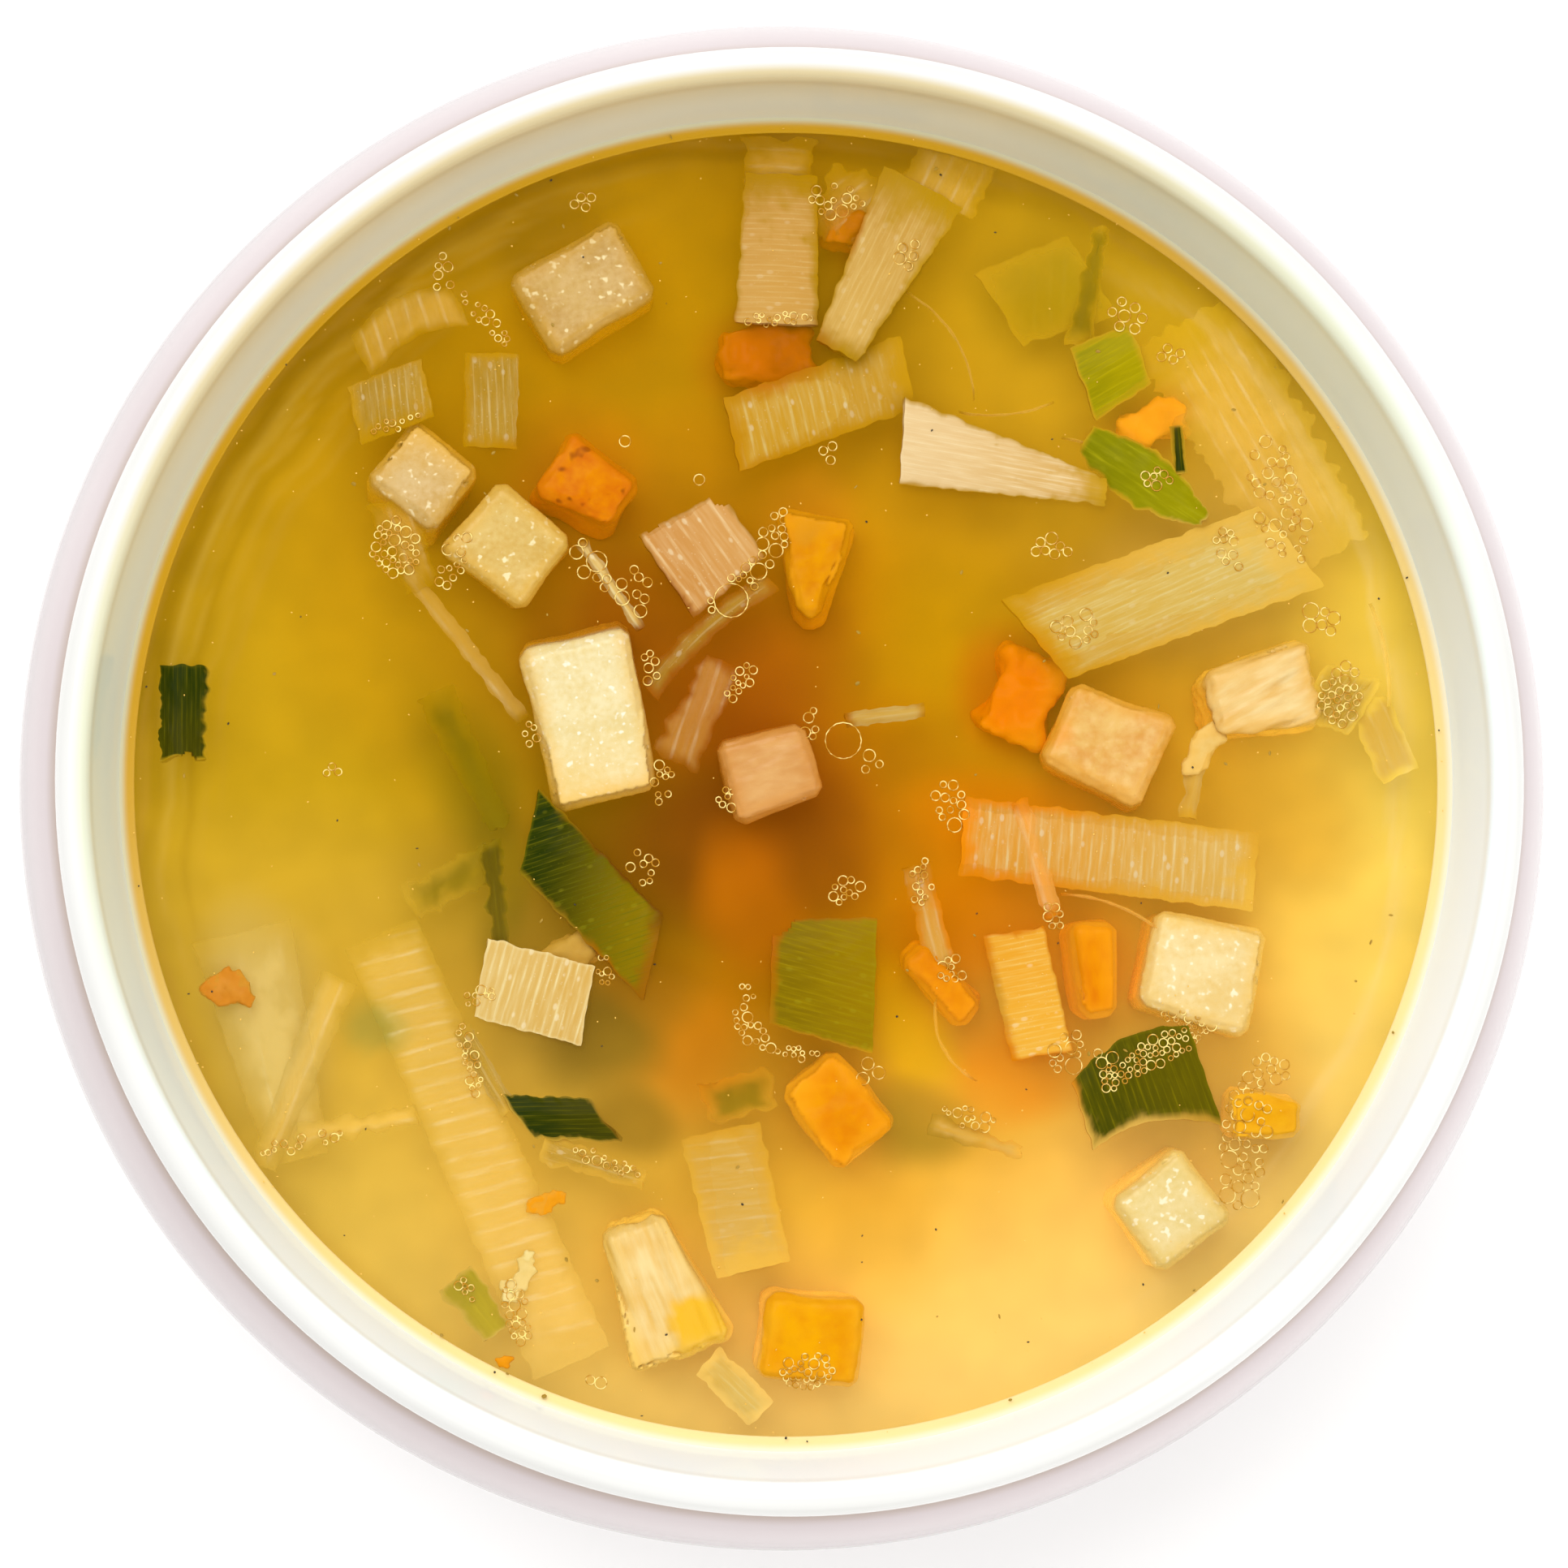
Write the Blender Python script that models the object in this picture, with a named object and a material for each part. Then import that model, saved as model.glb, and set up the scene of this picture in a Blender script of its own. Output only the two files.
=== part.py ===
# Leek, carrot and chicken soup in a rounded stoneware bowl, modelled in metres with +Z up.
# The bowl stands on its foot ring at z = 0, with its axis on the Z axis. The broth fills it to
# BROTH_LEVEL, and the pieces that break the surface float in pockets cut out of the broth.

import math
import random

import bmesh
import bpy
from mathutils import Euler, Matrix, Vector

MM = 0.001

# Bowl, in millimetres.
BOWL_HEIGHT = 70.0
RIM_RADIUS = 68.0          # outside of the rolled rim
RIM_ROLL = 1.65            # radius of the rolled edge
CREASE_RADIUS = 66.4       # under the overhang of the rim
CREASE_LEVEL = 65.2
BELLY_RADIUS = 72.6        # widest part
BELLY_LEVEL = 51.0
BELLY_FULLNESS = 2.4       # exponent of the belly's superellipse, 2 would be an ellipse
FOOT_RADIUS = 42.0         # where the outside meets the foot ring
FOOT_INSET = 1.4           # the ring's outer edge lies this far inside that
FOOT_WIDTH = 4.6
FOOT_RECESS = 2.6
FOOT_DRAFT = 1.2           # how far the ring's inner side slopes in
NECK_RADIUS = 62.3         # narrowest part inside
NECK_LEVEL = 58.5
NECK_FLARE = 1.3           # exponent of the flare from the neck up to the rim
WALL = 6.0
INNER_BELLY_LEVEL = 49.0   # widest part inside
FLOOR_LEVEL = 7.5          # inside of the bowl's floor

# Broth, in millimetres.
BROTH_LEVEL = 60.0
MENISCUS_RISE = 1.2        # the liquid climbs the wall by this much
MENISCUS_WIDTH = 2.2
GAP = 0.3                  # clearance between touching pieces

TURN_STEPS = 56            # facets round the bowl and the broth
SHARP_ANGLE = 50.0         # degrees, edges sharper than this stay crisp
BLOCK_BEVEL = 0.8
BLOCK_UNEVENNESS = 0.035   # how far a corner is out of true, as a part of the block's shorter side
TOP_UNEVENNESS = 0.4       # the part of that by which a corner may stand higher or lower
STRIP_ROW = 3.2            # spacing of the points along a strip

# Blocks of root vegetable, chicken and carrot. at is the centre on the surface, turn the direction
# of the length from +X, size is length, width and depth, far is the width of the far end as a part
# of the near one, tip and roll are the small tilts along and across the length, in degrees, and
# proud is how far the middle of the top stands out of the broth.
BLOCKS = {
    "potato_1": dict(at=(-19.2, 46.5), turn=31, size=(11.6, 8.6, 8.5), far=1.0, tip=2, roll=-3, proud=0.5),
    "potato_2": dict(at=(-34.2, 28.9), turn=-38, size=(7.8, 7.6, 8.0), far=0.95, tip=-2, roll=-12, proud=0.1),
    "potato_3": dict(at=(-26.4, 22.0), turn=-39, size=(9.2, 9.0, 9.0), far=0.95, tip=2, roll=3, proud=0.7),
    "potato_4": dict(at=(-18.8, 5.4), turn=-78, size=(15.8, 10.3, 10.0), far=0.95, tip=9, roll=2, proud=0.4),
    "potato_5": dict(at=(-1.8, 0.9), turn=16, size=(8.4, 7.9, 8.0), far=0.92, tip=-2, roll=3, proud=0.6),
    "potato_6": dict(at=(38.9, -17.8), turn=-13, size=(11.2, 9.2, 9.0), far=1.08, tip=2, roll=-3, proud=0.6),
    "potato_7": dict(at=(30.0, 3.9), turn=-24, size=(10.4, 8.2, 8.5), far=1.12, tip=-3, roll=-4, proud=0.6),
    "potato_8": dict(at=(36.0, -40.2), turn=36, size=(8.7, 8.6, 8.5), far=1.0, tip=2, roll=3, proud=0.5),
    "chicken_1": dict(at=(-12.4, -47.6), turn=-68, size=(13.6, 5.8, 9.0), far=1.75, tip=3, roll=4, proud=0.7),
    "chicken_2": dict(at=(44.8, 8.6), turn=12, size=(10.6, 6.0, 8.0), far=1.4, tip=6, roll=-3, proud=0.6),
    "carrot_1": dict(at=(-18.6, 28.2), turn=-30, size=(8.2, 7.4, 7.0), far=0.7, tip=2, roll=-8, proud=0.4),
    "carrot_2": dict(at=(2.2, 20.4), turn=-96, size=(10.4, 8.2, 6.5), far=0.3, tip=-6, roll=3, proud=0.3),
    "carrot_3": dict(at=(2.0, -52.2), turn=-6, size=(9.4, 7.8, 7.0), far=1.05, tip=2, roll=3, proud=0.6),
    "carrot_4": dict(at=(4.4, -30.6), turn=-52, size=(9.4, 6.4, 6.5), far=1.1, tip=-4, roll=3, proud=0.3),
    "carrot_5": dict(at=(14.4, -19.0), turn=-46, size=(8.6, 3.2, 5.5), far=1.1, tip=4, roll=2, proud=0.2),
    "carrot_6": dict(at=(28.9, -17.7), turn=-85, size=(9.0, 5.0, 5.5), far=0.75, tip=3, roll=-5, proud=0.2),
    "carrot_7": dict(at=(44.8, -31.6), turn=-2, size=(7.0, 4.8, 5.5), far=0.8, tip=3, roll=4, proud=0.4),
}

# Cut strips of leek. at, turn, far, tip, roll and proud are as above, size is length, width and
# thickness, slant turns both ends from square, in degrees, cup is the rise of the middle across the
# strip, bow bends it sideways, and swell widens its middle, in millimetres. What a strip leaves out
# takes the value that strip() gives it.
STRIPS = {
    "leek_white_1": dict(at=(-37.4, 35.7), turn=22, size=(7.4, 5.6, 1.1), slant=8, cup=0.4, proud=0.6),
    "leek_white_2": dict(at=(-28.0, 35.8), turn=-91, size=(9.0, 5.0, 1.1), proud=0.5),
    "leek_white_3": dict(at=(-0.9, 50.3), turn=-92, size=(14.2, 6.8, 1.8), far=1.16, tip=-2, proud=0.6),
    "leek_white_4": dict(at=(8.7, 48.5), turn=-118, size=(18.0, 8.4, 1.3), far=0.52, tip=-5, proud=1.1),
    "leek_white_5": dict(at=(3.0, 35.7), turn=20, size=(17.8, 7.0, 1.1), slant=8, cup=0.4, tip=3, proud=0.2),
    "leek_white_6": dict(at=(20.3, 29.3), turn=-14, size=(19.8, 8.2, 1.4), far=0.14, slant=-10, proud=1.4),
    "leek_white_7": dict(at=(35.4, 17.9), turn=20, size=(26.0, 9.2, 1.1), slant=-20, cup=0.7, proud=0.3),
    "leek_white_8": dict(at=(-7.9, 21.5), turn=34, size=(8.8, 9.4, 1.1), far=0.8, proud=0.5),
    "leek_white_9": dict(at=(-23.9, -19.7), turn=-15, size=(10.3, 7.5, 2.2), slant=-5, cup=0.3, proud=0.9),
    "leek_white_10": dict(at=(-5.0, -39.2), turn=-77, size=(13.4, 7.6, 1.1), far=0.94, tip=-1, proud=0.2),
    "leek_white_11": dict(at=(22.3, -19.9), turn=-77, size=(12.0, 5.8, 1.5), slant=4, cup=0.3, proud=1.4),
    "leek_white_12": dict(at=(30.1, -6.8), turn=-7, size=(28.0, 7.4, 1.1), slant=-3, cup=0.6, proud=0.4),
    "leek_green_1": dict(at=(30.6, 39.0), turn=28, size=(6.2, 7.2, 0.9), far=0.84, slant=8, proud=0.4),
    "leek_green_2": dict(at=(33.8, 28.7), turn=-35, size=(13.6, 2.6, 0.9), far=0.5, swell=3.4, proud=0.5),
    "leek_green_3": dict(at=(-18.6, -10.6), turn=-46, size=(16.6, 6.8, 1.1), slant=-33, tip=1, proud=0.7),
    "leek_green_4": dict(at=(-21.3, -31.5), turn=-3, size=(8.2, 3.9, 1.1), slant=-40, cup=0.4, proud=0.5),
    "leek_green_5": dict(at=(3.1, -18.4), turn=-8, size=(9.8, 9.8, 0.9), far=1.3, slant=-6, proud=0.6),
    "leek_green_6": dict(at=(33.3, -29.6), turn=18, size=(12.2, 6.6, 0.9), far=1.5, bow=1.6, proud=0.4),
    "leek_green_7": dict(at=(-56.6, 6.4), turn=-90, size=(8.6, 4.4, 1.1), cup=0.4, proud=0.6),
}

STRIP_SHAPE = ("far", "slant", "cup", "bow", "swell")

FINISHES = {
    # name: colour (linear RGB), roughness
    "bowl": ((0.87, 0.86, 0.82), 0.12),
    "broth": ((0.66, 0.38, 0.03), 0.05),
    "potato": ((0.80, 0.66, 0.34), 0.45),
    "chicken": ((0.78, 0.62, 0.36), 0.50),
    "carrot": ((0.85, 0.24, 0.01), 0.40),
    "leek_white": ((0.76, 0.62, 0.32), 0.35),
    "leek_green": ((0.10, 0.18, 0.02), 0.35),
}


def clear_scene():
    for old in list(bpy.data.objects):
        bpy.data.objects.remove(old, do_unlink=True)


def make_materials():
    materials = {}
    for name, (colour, roughness) in FINISHES.items():
        material = bpy.data.materials.new(name)
        material.use_nodes = True
        shader = material.node_tree.nodes["Principled BSDF"]
        shader.inputs["Base Color"].default_value = (*colour, 1.0)
        shader.inputs["Roughness"].default_value = roughness
        material.diffuse_color = (*colour, 1.0)
        materials[name] = material
    return materials


def object_from(name, mesh_builder, material, place=None):
    """Makes an object from a bmesh in millimetres, moved by place and brought to metres."""
    mesh = bpy.data.meshes.new(name)
    if place is not None:
        bmesh.ops.transform(mesh_builder, matrix=place, verts=mesh_builder.verts)
    bmesh.ops.scale(mesh_builder, vec=(MM, MM, MM), verts=mesh_builder.verts)
    bmesh.ops.recalc_face_normals(mesh_builder, faces=mesh_builder.faces)
    mesh_builder.to_mesh(mesh)
    mesh_builder.free()
    mesh.materials.append(material)
    made = bpy.data.objects.new(name, mesh)
    bpy.context.scene.collection.objects.link(made)
    return made


def turned(profile):
    """A solid of revolution about Z, from a profile of (radius, height) that starts and ends on it."""
    solid = bmesh.new()
    points = [solid.verts.new((radius, 0.0, height)) for radius, height in profile]
    edges = [solid.edges.new(pair) for pair in zip(points, points[1:])]
    bmesh.ops.spin(
        solid, geom=points + edges, cent=(0, 0, 0), axis=(0, 0, 1), dvec=(0, 0, 0),
        angle=math.tau, steps=TURN_STEPS, use_merge=True, use_duplicate=False,
    )
    bmesh.ops.remove_doubles(solid, verts=solid.verts, dist=1e-4)
    return solid


def belly_arc(radius, top, bottom, end_radius, steps):
    """Points down a superellipse from its widest point to end_radius, or to the axis for 0."""
    power = 2.0 / BELLY_FULLNESS
    last = math.acos((end_radius / radius) ** (1.0 / power))
    arc = []
    for step in range(steps + 1):
        angle = last * step / steps
        arc.append((radius * math.cos(angle) ** power, top - (top - bottom) * math.sin(angle) ** power))
    return arc


def neck_radius(height):
    """Inside radius of the neck, from the belly's level up to the rim."""
    inner_belly = BELLY_RADIUS - WALL
    if height <= NECK_LEVEL:
        part = (NECK_LEVEL - height) / (NECK_LEVEL - INNER_BELLY_LEVEL)
        return NECK_RADIUS + (inner_belly - NECK_RADIUS) * (1.0 - math.cos(math.pi * part)) / 2.0
    rim_level = BOWL_HEIGHT - RIM_ROLL
    part = (height - NECK_LEVEL) / (rim_level - NECK_LEVEL)
    return NECK_RADIUS + (RIM_RADIUS - 2.0 * RIM_ROLL - NECK_RADIUS) * part ** NECK_FLARE


def inner_wall():
    """Inside of the bowl, in two lists: the dry neck, then the wetted wall down to the floor's centre."""
    wet_top = BROTH_LEVEL + MENISCUS_RISE
    rim_level = BOWL_HEIGHT - RIM_ROLL
    dry = [rim_level + (wet_top - rim_level) * step / 3 for step in (1, 2)]
    wet = [wet_top + (INNER_BELLY_LEVEL - wet_top) * step / 4 for step in range(4)]
    floor = belly_arc(BELLY_RADIUS - WALL, INNER_BELLY_LEVEL, FLOOR_LEVEL, 0.0, 8)
    floor[-1] = (0.0, FLOOR_LEVEL)
    return [(neck_radius(z), z) for z in dry], [(neck_radius(z), z) for z in wet] + floor


def inset(points, distance):
    """A wall's profile moved by distance towards the bowl's axis and up from its floor."""
    moved = []
    for index, (radius, height) in enumerate(points):
        before = Vector(points[max(index - 1, 0)])
        after = Vector(points[min(index + 1, len(points) - 1)])
        run = (after - before).normalized()
        moved.append((max(0.0, radius + run.y * distance), height - run.x * distance))
    moved[-1] = (0.0, points[-1][1] + distance)
    return moved


def bowl_profile():
    """The whole section of the bowl: foot, outside, rolled rim and inside, down to its floor."""
    foot_outside = FOOT_RADIUS - FOOT_INSET
    foot_inside = foot_outside - FOOT_WIDTH
    foot = [
        (0.0, FOOT_RECESS),
        (foot_inside - FOOT_DRAFT, FOOT_RECESS),
        (foot_inside, 0.0),
        (foot_outside, 0.0),
    ]
    outside = belly_arc(BELLY_RADIUS, BELLY_LEVEL, 0.0, FOOT_RADIUS, 7)[::-1]
    shoulder = []
    for degrees in (28, 55, 80):
        angle = math.radians(degrees)
        radius = CREASE_RADIUS + (BELLY_RADIUS - CREASE_RADIUS) * math.cos(angle)
        shoulder.append((radius, BELLY_LEVEL + (CREASE_LEVEL - BELLY_LEVEL) * math.sin(angle)))
    roll = []
    for degrees in (-50, -10, 30, 60, 90, 135, 180):
        angle = math.radians(degrees)
        radius = RIM_RADIUS - RIM_ROLL + RIM_ROLL * math.cos(angle)
        roll.append((radius, BOWL_HEIGHT - RIM_ROLL + RIM_ROLL * math.sin(angle)))
    dry, wet = inner_wall()
    return foot + outside + shoulder + roll + dry + wet


def broth_profile():
    """The liquid, a gap inside the wetted wall, with its edge drawn up the wall."""
    edge = neck_radius(BROTH_LEVEL)
    meniscus = [
        (0.0, BROTH_LEVEL),
        (edge - MENISCUS_WIDTH, BROTH_LEVEL),
        (edge - MENISCUS_WIDTH * 0.4, BROTH_LEVEL + MENISCUS_RISE * 0.3),  # still shallow near its foot
    ]
    return meniscus + inset(inner_wall()[1], GAP)


def block(size, far, seed, grow=0.0):
    """A knife-cut block, its top at z = 0, with corners a little out of square."""
    uneven = random.Random(seed)
    length, width, depth = size
    corners = {}
    solid = bmesh.new()
    for end in (-1, 1):
        half = width * (1.0 if end < 0 else far) / 2.0
        for side in (-1, 1):
            for top in (0, 1):
                point = Vector((end * length / 2.0, side * half, (top - 1) * depth))
                reach = BLOCK_UNEVENNESS * min(length, width)
                shift = Vector([uneven.uniform(-reach, reach) for _ in range(3)])
                shift.z *= TOP_UNEVENNESS
                outward = Vector((end, side, 2 * top - 1)) * grow
                corners[end, side, top] = solid.verts.new(point + shift + outward)
    for axis in range(3):
        for value in ((-1, 1), (-1, 1), (0, 1))[axis]:
            face = [corner for key, corner in corners.items() if key[axis] == value]
            face[2], face[3] = face[3], face[2]
            solid.faces.new(face)
    return solid


def strip(size, far=1.0, slant=0, cup=0.5, bow=0.0, swell=0.0, grow=0.0):
    """A cut piece of leek leaf: a slab with its top crest at z = 0, cupped like its stalk."""
    length, width, thickness = size
    along, across = max(3, round(length / STRIP_ROW)), 2
    rows = []
    solid = bmesh.new()
    for layer in (0, 1):
        drop = grow if layer == 0 else -thickness - grow
        grid = []
        for i in range(along + 1):
            u = i / along * 2.0 - 1.0
            half = width / 2.0 * (1.0 + (far - 1.0) * i / along) + swell / 2.0 * (1.0 - u * u) + grow
            line = []
            for j in range(across + 1):
                v = j / across * 2.0 - 1.0
                x = u * (length / 2.0 + grow) + v * half * math.tan(math.radians(slant))
                y = v * half + bow * (1.0 - u * u)
                z = drop - cup * v * v
                line.append(solid.verts.new((x, y, z)))
            grid.append(line)
        rows.append(grid)
    upper, lower = rows
    for i in range(along):
        for j in range(across):
            for grid in rows:
                solid.faces.new((grid[i][j], grid[i + 1][j], grid[i + 1][j + 1], grid[i][j + 1]))
        for j in (0, across):
            solid.faces.new((upper[i][j], upper[i + 1][j], lower[i + 1][j], lower[i][j]))
    for i in (0, along):
        for j in range(across):
            solid.faces.new((upper[i][j], upper[i][j + 1], lower[i][j + 1], lower[i][j]))
    return solid


def floating_place(piece):
    """Where a piece floats: its place, its turn and its small tilts."""
    x, y = piece["at"]
    tilt = Euler((math.radians(piece.get("roll", 0)), math.radians(piece.get("tip", 0)), 0.0))
    turn = Matrix.Rotation(math.radians(piece["turn"]), 4, "Z")
    return Matrix.Translation((x, y, BROTH_LEVEL + piece["proud"])) @ turn @ tilt.to_matrix().to_4x4()


def cut_pocket(broth, shape, name, place, material):
    """Takes the room of a floating piece, grown by the gap, out of the broth."""
    cutter = object_from(name + "_pocket", shape, material, place)
    cutter.hide_render = True
    cutter.display_type = "WIRE"
    pocket = broth.modifiers.new(cutter.name, "BOOLEAN")
    pocket.operation = "DIFFERENCE"
    pocket.solver = "EXACT"
    pocket.object = cutter


def finish_of(name):
    return name.rsplit("_", 1)[0]


def build():
    clear_scene()
    materials = make_materials()

    bowl = object_from("bowl", turned(bowl_profile()), materials["bowl"])
    bowl.data.shade_smooth()
    bowl.data.set_sharp_from_angle(angle=math.radians(SHARP_ANGLE))

    broth = object_from("broth", turned(broth_profile()), materials["broth"])
    broth.data.shade_smooth()
    broth.data.set_sharp_from_angle(angle=math.radians(SHARP_ANGLE))

    for seed, (name, piece) in enumerate(BLOCKS.items()):
        place = floating_place(piece)
        material = materials[finish_of(name)]
        floating = object_from(name, block(piece["size"], piece["far"], seed), material, place)
        bevel = floating.modifiers.new("knife edges", "BEVEL")
        bevel.width = BLOCK_BEVEL * MM
        bevel.segments = 1
        bevel.limit_method = "NONE"
        room = block(piece["size"], piece["far"], seed, GAP)
        cut_pocket(broth, room, name, place, materials["broth"])

    for name, piece in STRIPS.items():
        place = floating_place(piece)
        shape = {key: piece[key] for key in STRIP_SHAPE if key in piece}
        object_from(name, strip(piece["size"], **shape), materials[finish_of(name)], place)
        room = strip(piece["size"], **shape, grow=GAP)
        cut_pocket(broth, room, name, place, materials["broth"])


build()
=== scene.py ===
# Leek, carrot and chicken soup in a round stoneware bowl: the looks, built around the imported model.
# Sizes are in millimetres where they are written down, and mm brings them to metres.
import math
import random

import bmesh
import bpy
import numpy as np
from mathutils import Euler, Matrix, Vector, noise
from mathutils.bvhtree import BVHTree


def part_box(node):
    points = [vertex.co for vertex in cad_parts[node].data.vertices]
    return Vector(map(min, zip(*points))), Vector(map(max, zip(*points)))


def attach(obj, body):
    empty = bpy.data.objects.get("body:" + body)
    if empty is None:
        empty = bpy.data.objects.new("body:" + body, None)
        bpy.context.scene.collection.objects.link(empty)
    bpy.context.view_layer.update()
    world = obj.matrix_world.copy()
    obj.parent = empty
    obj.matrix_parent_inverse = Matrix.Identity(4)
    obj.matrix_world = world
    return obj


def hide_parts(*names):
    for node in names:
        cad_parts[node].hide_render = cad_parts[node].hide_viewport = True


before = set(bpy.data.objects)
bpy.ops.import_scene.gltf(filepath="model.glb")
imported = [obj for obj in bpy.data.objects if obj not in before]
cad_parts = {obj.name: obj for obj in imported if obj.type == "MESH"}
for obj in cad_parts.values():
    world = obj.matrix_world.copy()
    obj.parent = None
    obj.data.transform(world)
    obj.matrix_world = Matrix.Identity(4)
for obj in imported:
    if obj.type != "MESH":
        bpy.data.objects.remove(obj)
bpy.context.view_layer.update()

mm = 0.001
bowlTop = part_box("bowl")[1]
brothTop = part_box("broth")[1]
meniscusRise = 1.2
brothLevel = brothTop.z / mm - meniscusRise  # the flat part of the liquid
scene = bpy.context.scene
scene.view_settings.view_transform = "Standard"  # food colours stay as mixed


def linear(hexColour):
    channels = [int(hexColour[at:at + 2], 16) / 255 for at in (0, 2, 4)]
    return [c / 12.92 if c <= 0.04045 else ((c + 0.055) / 1.055) ** 2.4 for c in channels]


# One node with its settings, and its inputs as values or as the sockets they are linked from.
def addNode(tree, kind, inputs=None, **settings):
    node = tree.nodes.new(kind)
    for name, value in settings.items():
        setattr(node, name, value)
    for key, value in (inputs or {}).items():
        if isinstance(value, bpy.types.NodeSocket):
            tree.links.new(value, node.inputs[key])
        else:
            node.inputs[key].default_value = value
    return node


# One step of arithmetic on numbers or sockets.
def reckon(tree, operation, *values):
    return addNode(tree, "ShaderNodeMath", dict(enumerate(values)), operation=operation).outputs[0]


def stored(tree, name, part="Fac"):
    return addNode(tree, "ShaderNodeAttribute", attribute_name=name).outputs[part]


def ownPlace(tree):
    return addNode(tree, "ShaderNodeTexCoord").outputs["Object"]


def noiseAt(tree, place, scale, detail=2.0):
    inputs = {"Vector": place, "Scale": scale, "Detail": detail}
    return addNode(tree, "ShaderNodeTexNoise", inputs).outputs[0]


def scaled(tree, place, scale):
    return addNode(tree, "ShaderNodeMapping", {"Vector": place, "Scale": scale}).outputs[0]


def combined(tree, x, y, z):
    return addNode(tree, "ShaderNodeCombineXYZ", {0: x, 1: y, 2: z}).outputs[0]


def ringCurve(tree, corners, radius):
    return addNode(
        tree, "GeometryNodeCurvePrimitiveCircle", {"Resolution": corners, "Radius": radius}, mode="RADIUS"
    ).outputs[0]


# Keeps a value at each point of a mesh.
def keep(mesh, name, values, kind="FLOAT", part="value"):
    mesh.attributes.new(name, kind, "POINT").data.foreach_set(part, values)


def colourPoints(piece, name, colours):
    rows = np.hstack([colours, np.ones((len(colours), 1))])
    keep(piece.data, name, rows.ravel(), "FLOAT_COLOR", "color")


# Where the points of a piece are, in mm.
def pointsOf(piece):
    places = np.empty(len(piece.data.vertices) * 3, np.float32)
    piece.data.vertices.foreach_get("co", places)
    return places.reshape(-1, 3) / mm


# A material with one Principled shader. Constant values go straight on its sockets.
def newMaterial(name, **constants):
    material = bpy.data.materials.new(name)
    material.use_nodes = True
    shader = material.node_tree.nodes["Principled BSDF"]
    for label, value in constants.items():
        shader.inputs[label.replace("_", " ")].default_value = value
    return material, material.node_tree, shader


def raiseSurface(tree, shader, height, strength, distance):
    bump = addNode(tree, "ShaderNodeBump", {"Height": height, "Strength": strength, "Distance": distance})
    tree.links.new(bump.outputs[0], shader.inputs["Normal"])


def mixColours(tree, amount, first, second):
    mixed = addNode(tree, "ShaderNodeMix", {0: amount, 6: first, 7: second}, data_type="RGBA")
    return mixed.outputs[2]


def asColour(hexColour, light=1.0):
    return (*(channel / light for channel in linear(hexColour)), 1.0)


# What lies level in this light comes out brighter than its own colour, so food and glaze are mixed
# darker than they should look, by this much.
levelLight = 1.36


def asSeen(hexColour):
    return asColour(hexColour, levelLight)


# Brings a value from the range low..high to 0..1, smoothly.
def smoothBand(tree, value, low, high):
    inputs = {0: value, 1: low, 2: high}
    return addNode(tree, "ShaderNodeMapRange", inputs, interpolation_type="SMOOTHSTEP").outputs[0]


def link(made):
    scene.collection.objects.link(made)
    return made


def newGeometryTree(name, inputs):
    tree = bpy.data.node_groups.new(name, "GeometryNodeTree")
    tree.interface.new_socket("Geometry", in_out="INPUT", socket_type="NodeSocketGeometry")
    for label, value in inputs.items():
        kind = {int: "NodeSocketInt", float: "NodeSocketFloat"}.get(type(value), "NodeSocketMaterial")
        socket = tree.interface.new_socket(label, in_out="INPUT", socket_type=kind)
        if value is not None:
            socket.default_value = value
    tree.interface.new_socket("Geometry", in_out="OUTPUT", socket_type="NodeSocketGeometry")
    return tree, addNode(tree, "NodeGroupInput").outputs


def endTree(tree, geometry, material=None):
    real = addNode(tree, "GeometryNodeRealizeInstances", {0: geometry}).outputs[0]
    if material:
        real = addNode(tree, "GeometryNodeSetMaterial", {0: real, "Material": material}).outputs[0]
    addNode(tree, "NodeGroupOutput", {0: real})


# Runs a tree on an object and leaves the result as a plain mesh object of the given name.
def runTree(live, tree, name, values):
    modifier = live.modifiers.new(tree.name, "NODES")
    modifier.node_group = tree
    for item in tree.interface.items_tree:
        if item.in_out == "INPUT" and item.name in values:
            modifier[item.identifier] = values[item.name]
    return settle(live, name)


def settle(live, name):
    bpy.context.view_layer.update()
    graph = bpy.context.evaluated_depsgraph_get()
    mesh = bpy.data.meshes.new_from_object(live.evaluated_get(graph))
    bpy.data.objects.remove(live)
    mesh.name = name
    return link(bpy.data.objects.new(name, mesh))


def finishPiece(piece, slot, *nodes):
    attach(piece, "root")
    if nodes:
        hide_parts(*nodes)
    return piece


# ---- camera, lights and floor
camera = {"place": (-27.3, -21.8, 588.3), "tilt": (2.34, -2.9), "lens": 129.4}
cameraObject = link(bpy.data.objects.new("camera", bpy.data.cameras.new("camera")))
cameraObject.data.lens = camera["lens"]
cameraObject.data.clip_start = 0.01
tiltX, tiltY = (math.radians(angle) for angle in camera["tilt"])
cameraTurn = Matrix.Rotation(tiltX, 4, "X") @ Matrix.Rotation(tiltY, 4, "Y")
cameraObject.matrix_world = Matrix.Translation(Vector(camera["place"]) * mm) @ cameraTurn
scene.camera = cameraObject

lights = {
    # name: place in metres, side of the square in metres, power in watts
    "window": ((-0.30, 0.66, 1.15), 1.20, 12.5),
    "fill": ((0.30, -0.80, 1.00), 1.40, 3.6),
    "bounce": ((0.95, -0.45, 0.80), 1.20, 4.0),
}
for name, (place, side, power) in lights.items():
    lamp = bpy.data.lights.new(name, "AREA")
    lamp.energy = power
    lamp.size = side
    lampObject = link(bpy.data.objects.new(name, lamp))
    lampObject.location = place
    lampObject.rotation_euler = (-Vector(place)).to_track_quat("-Z", "Y").to_euler()

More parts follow.
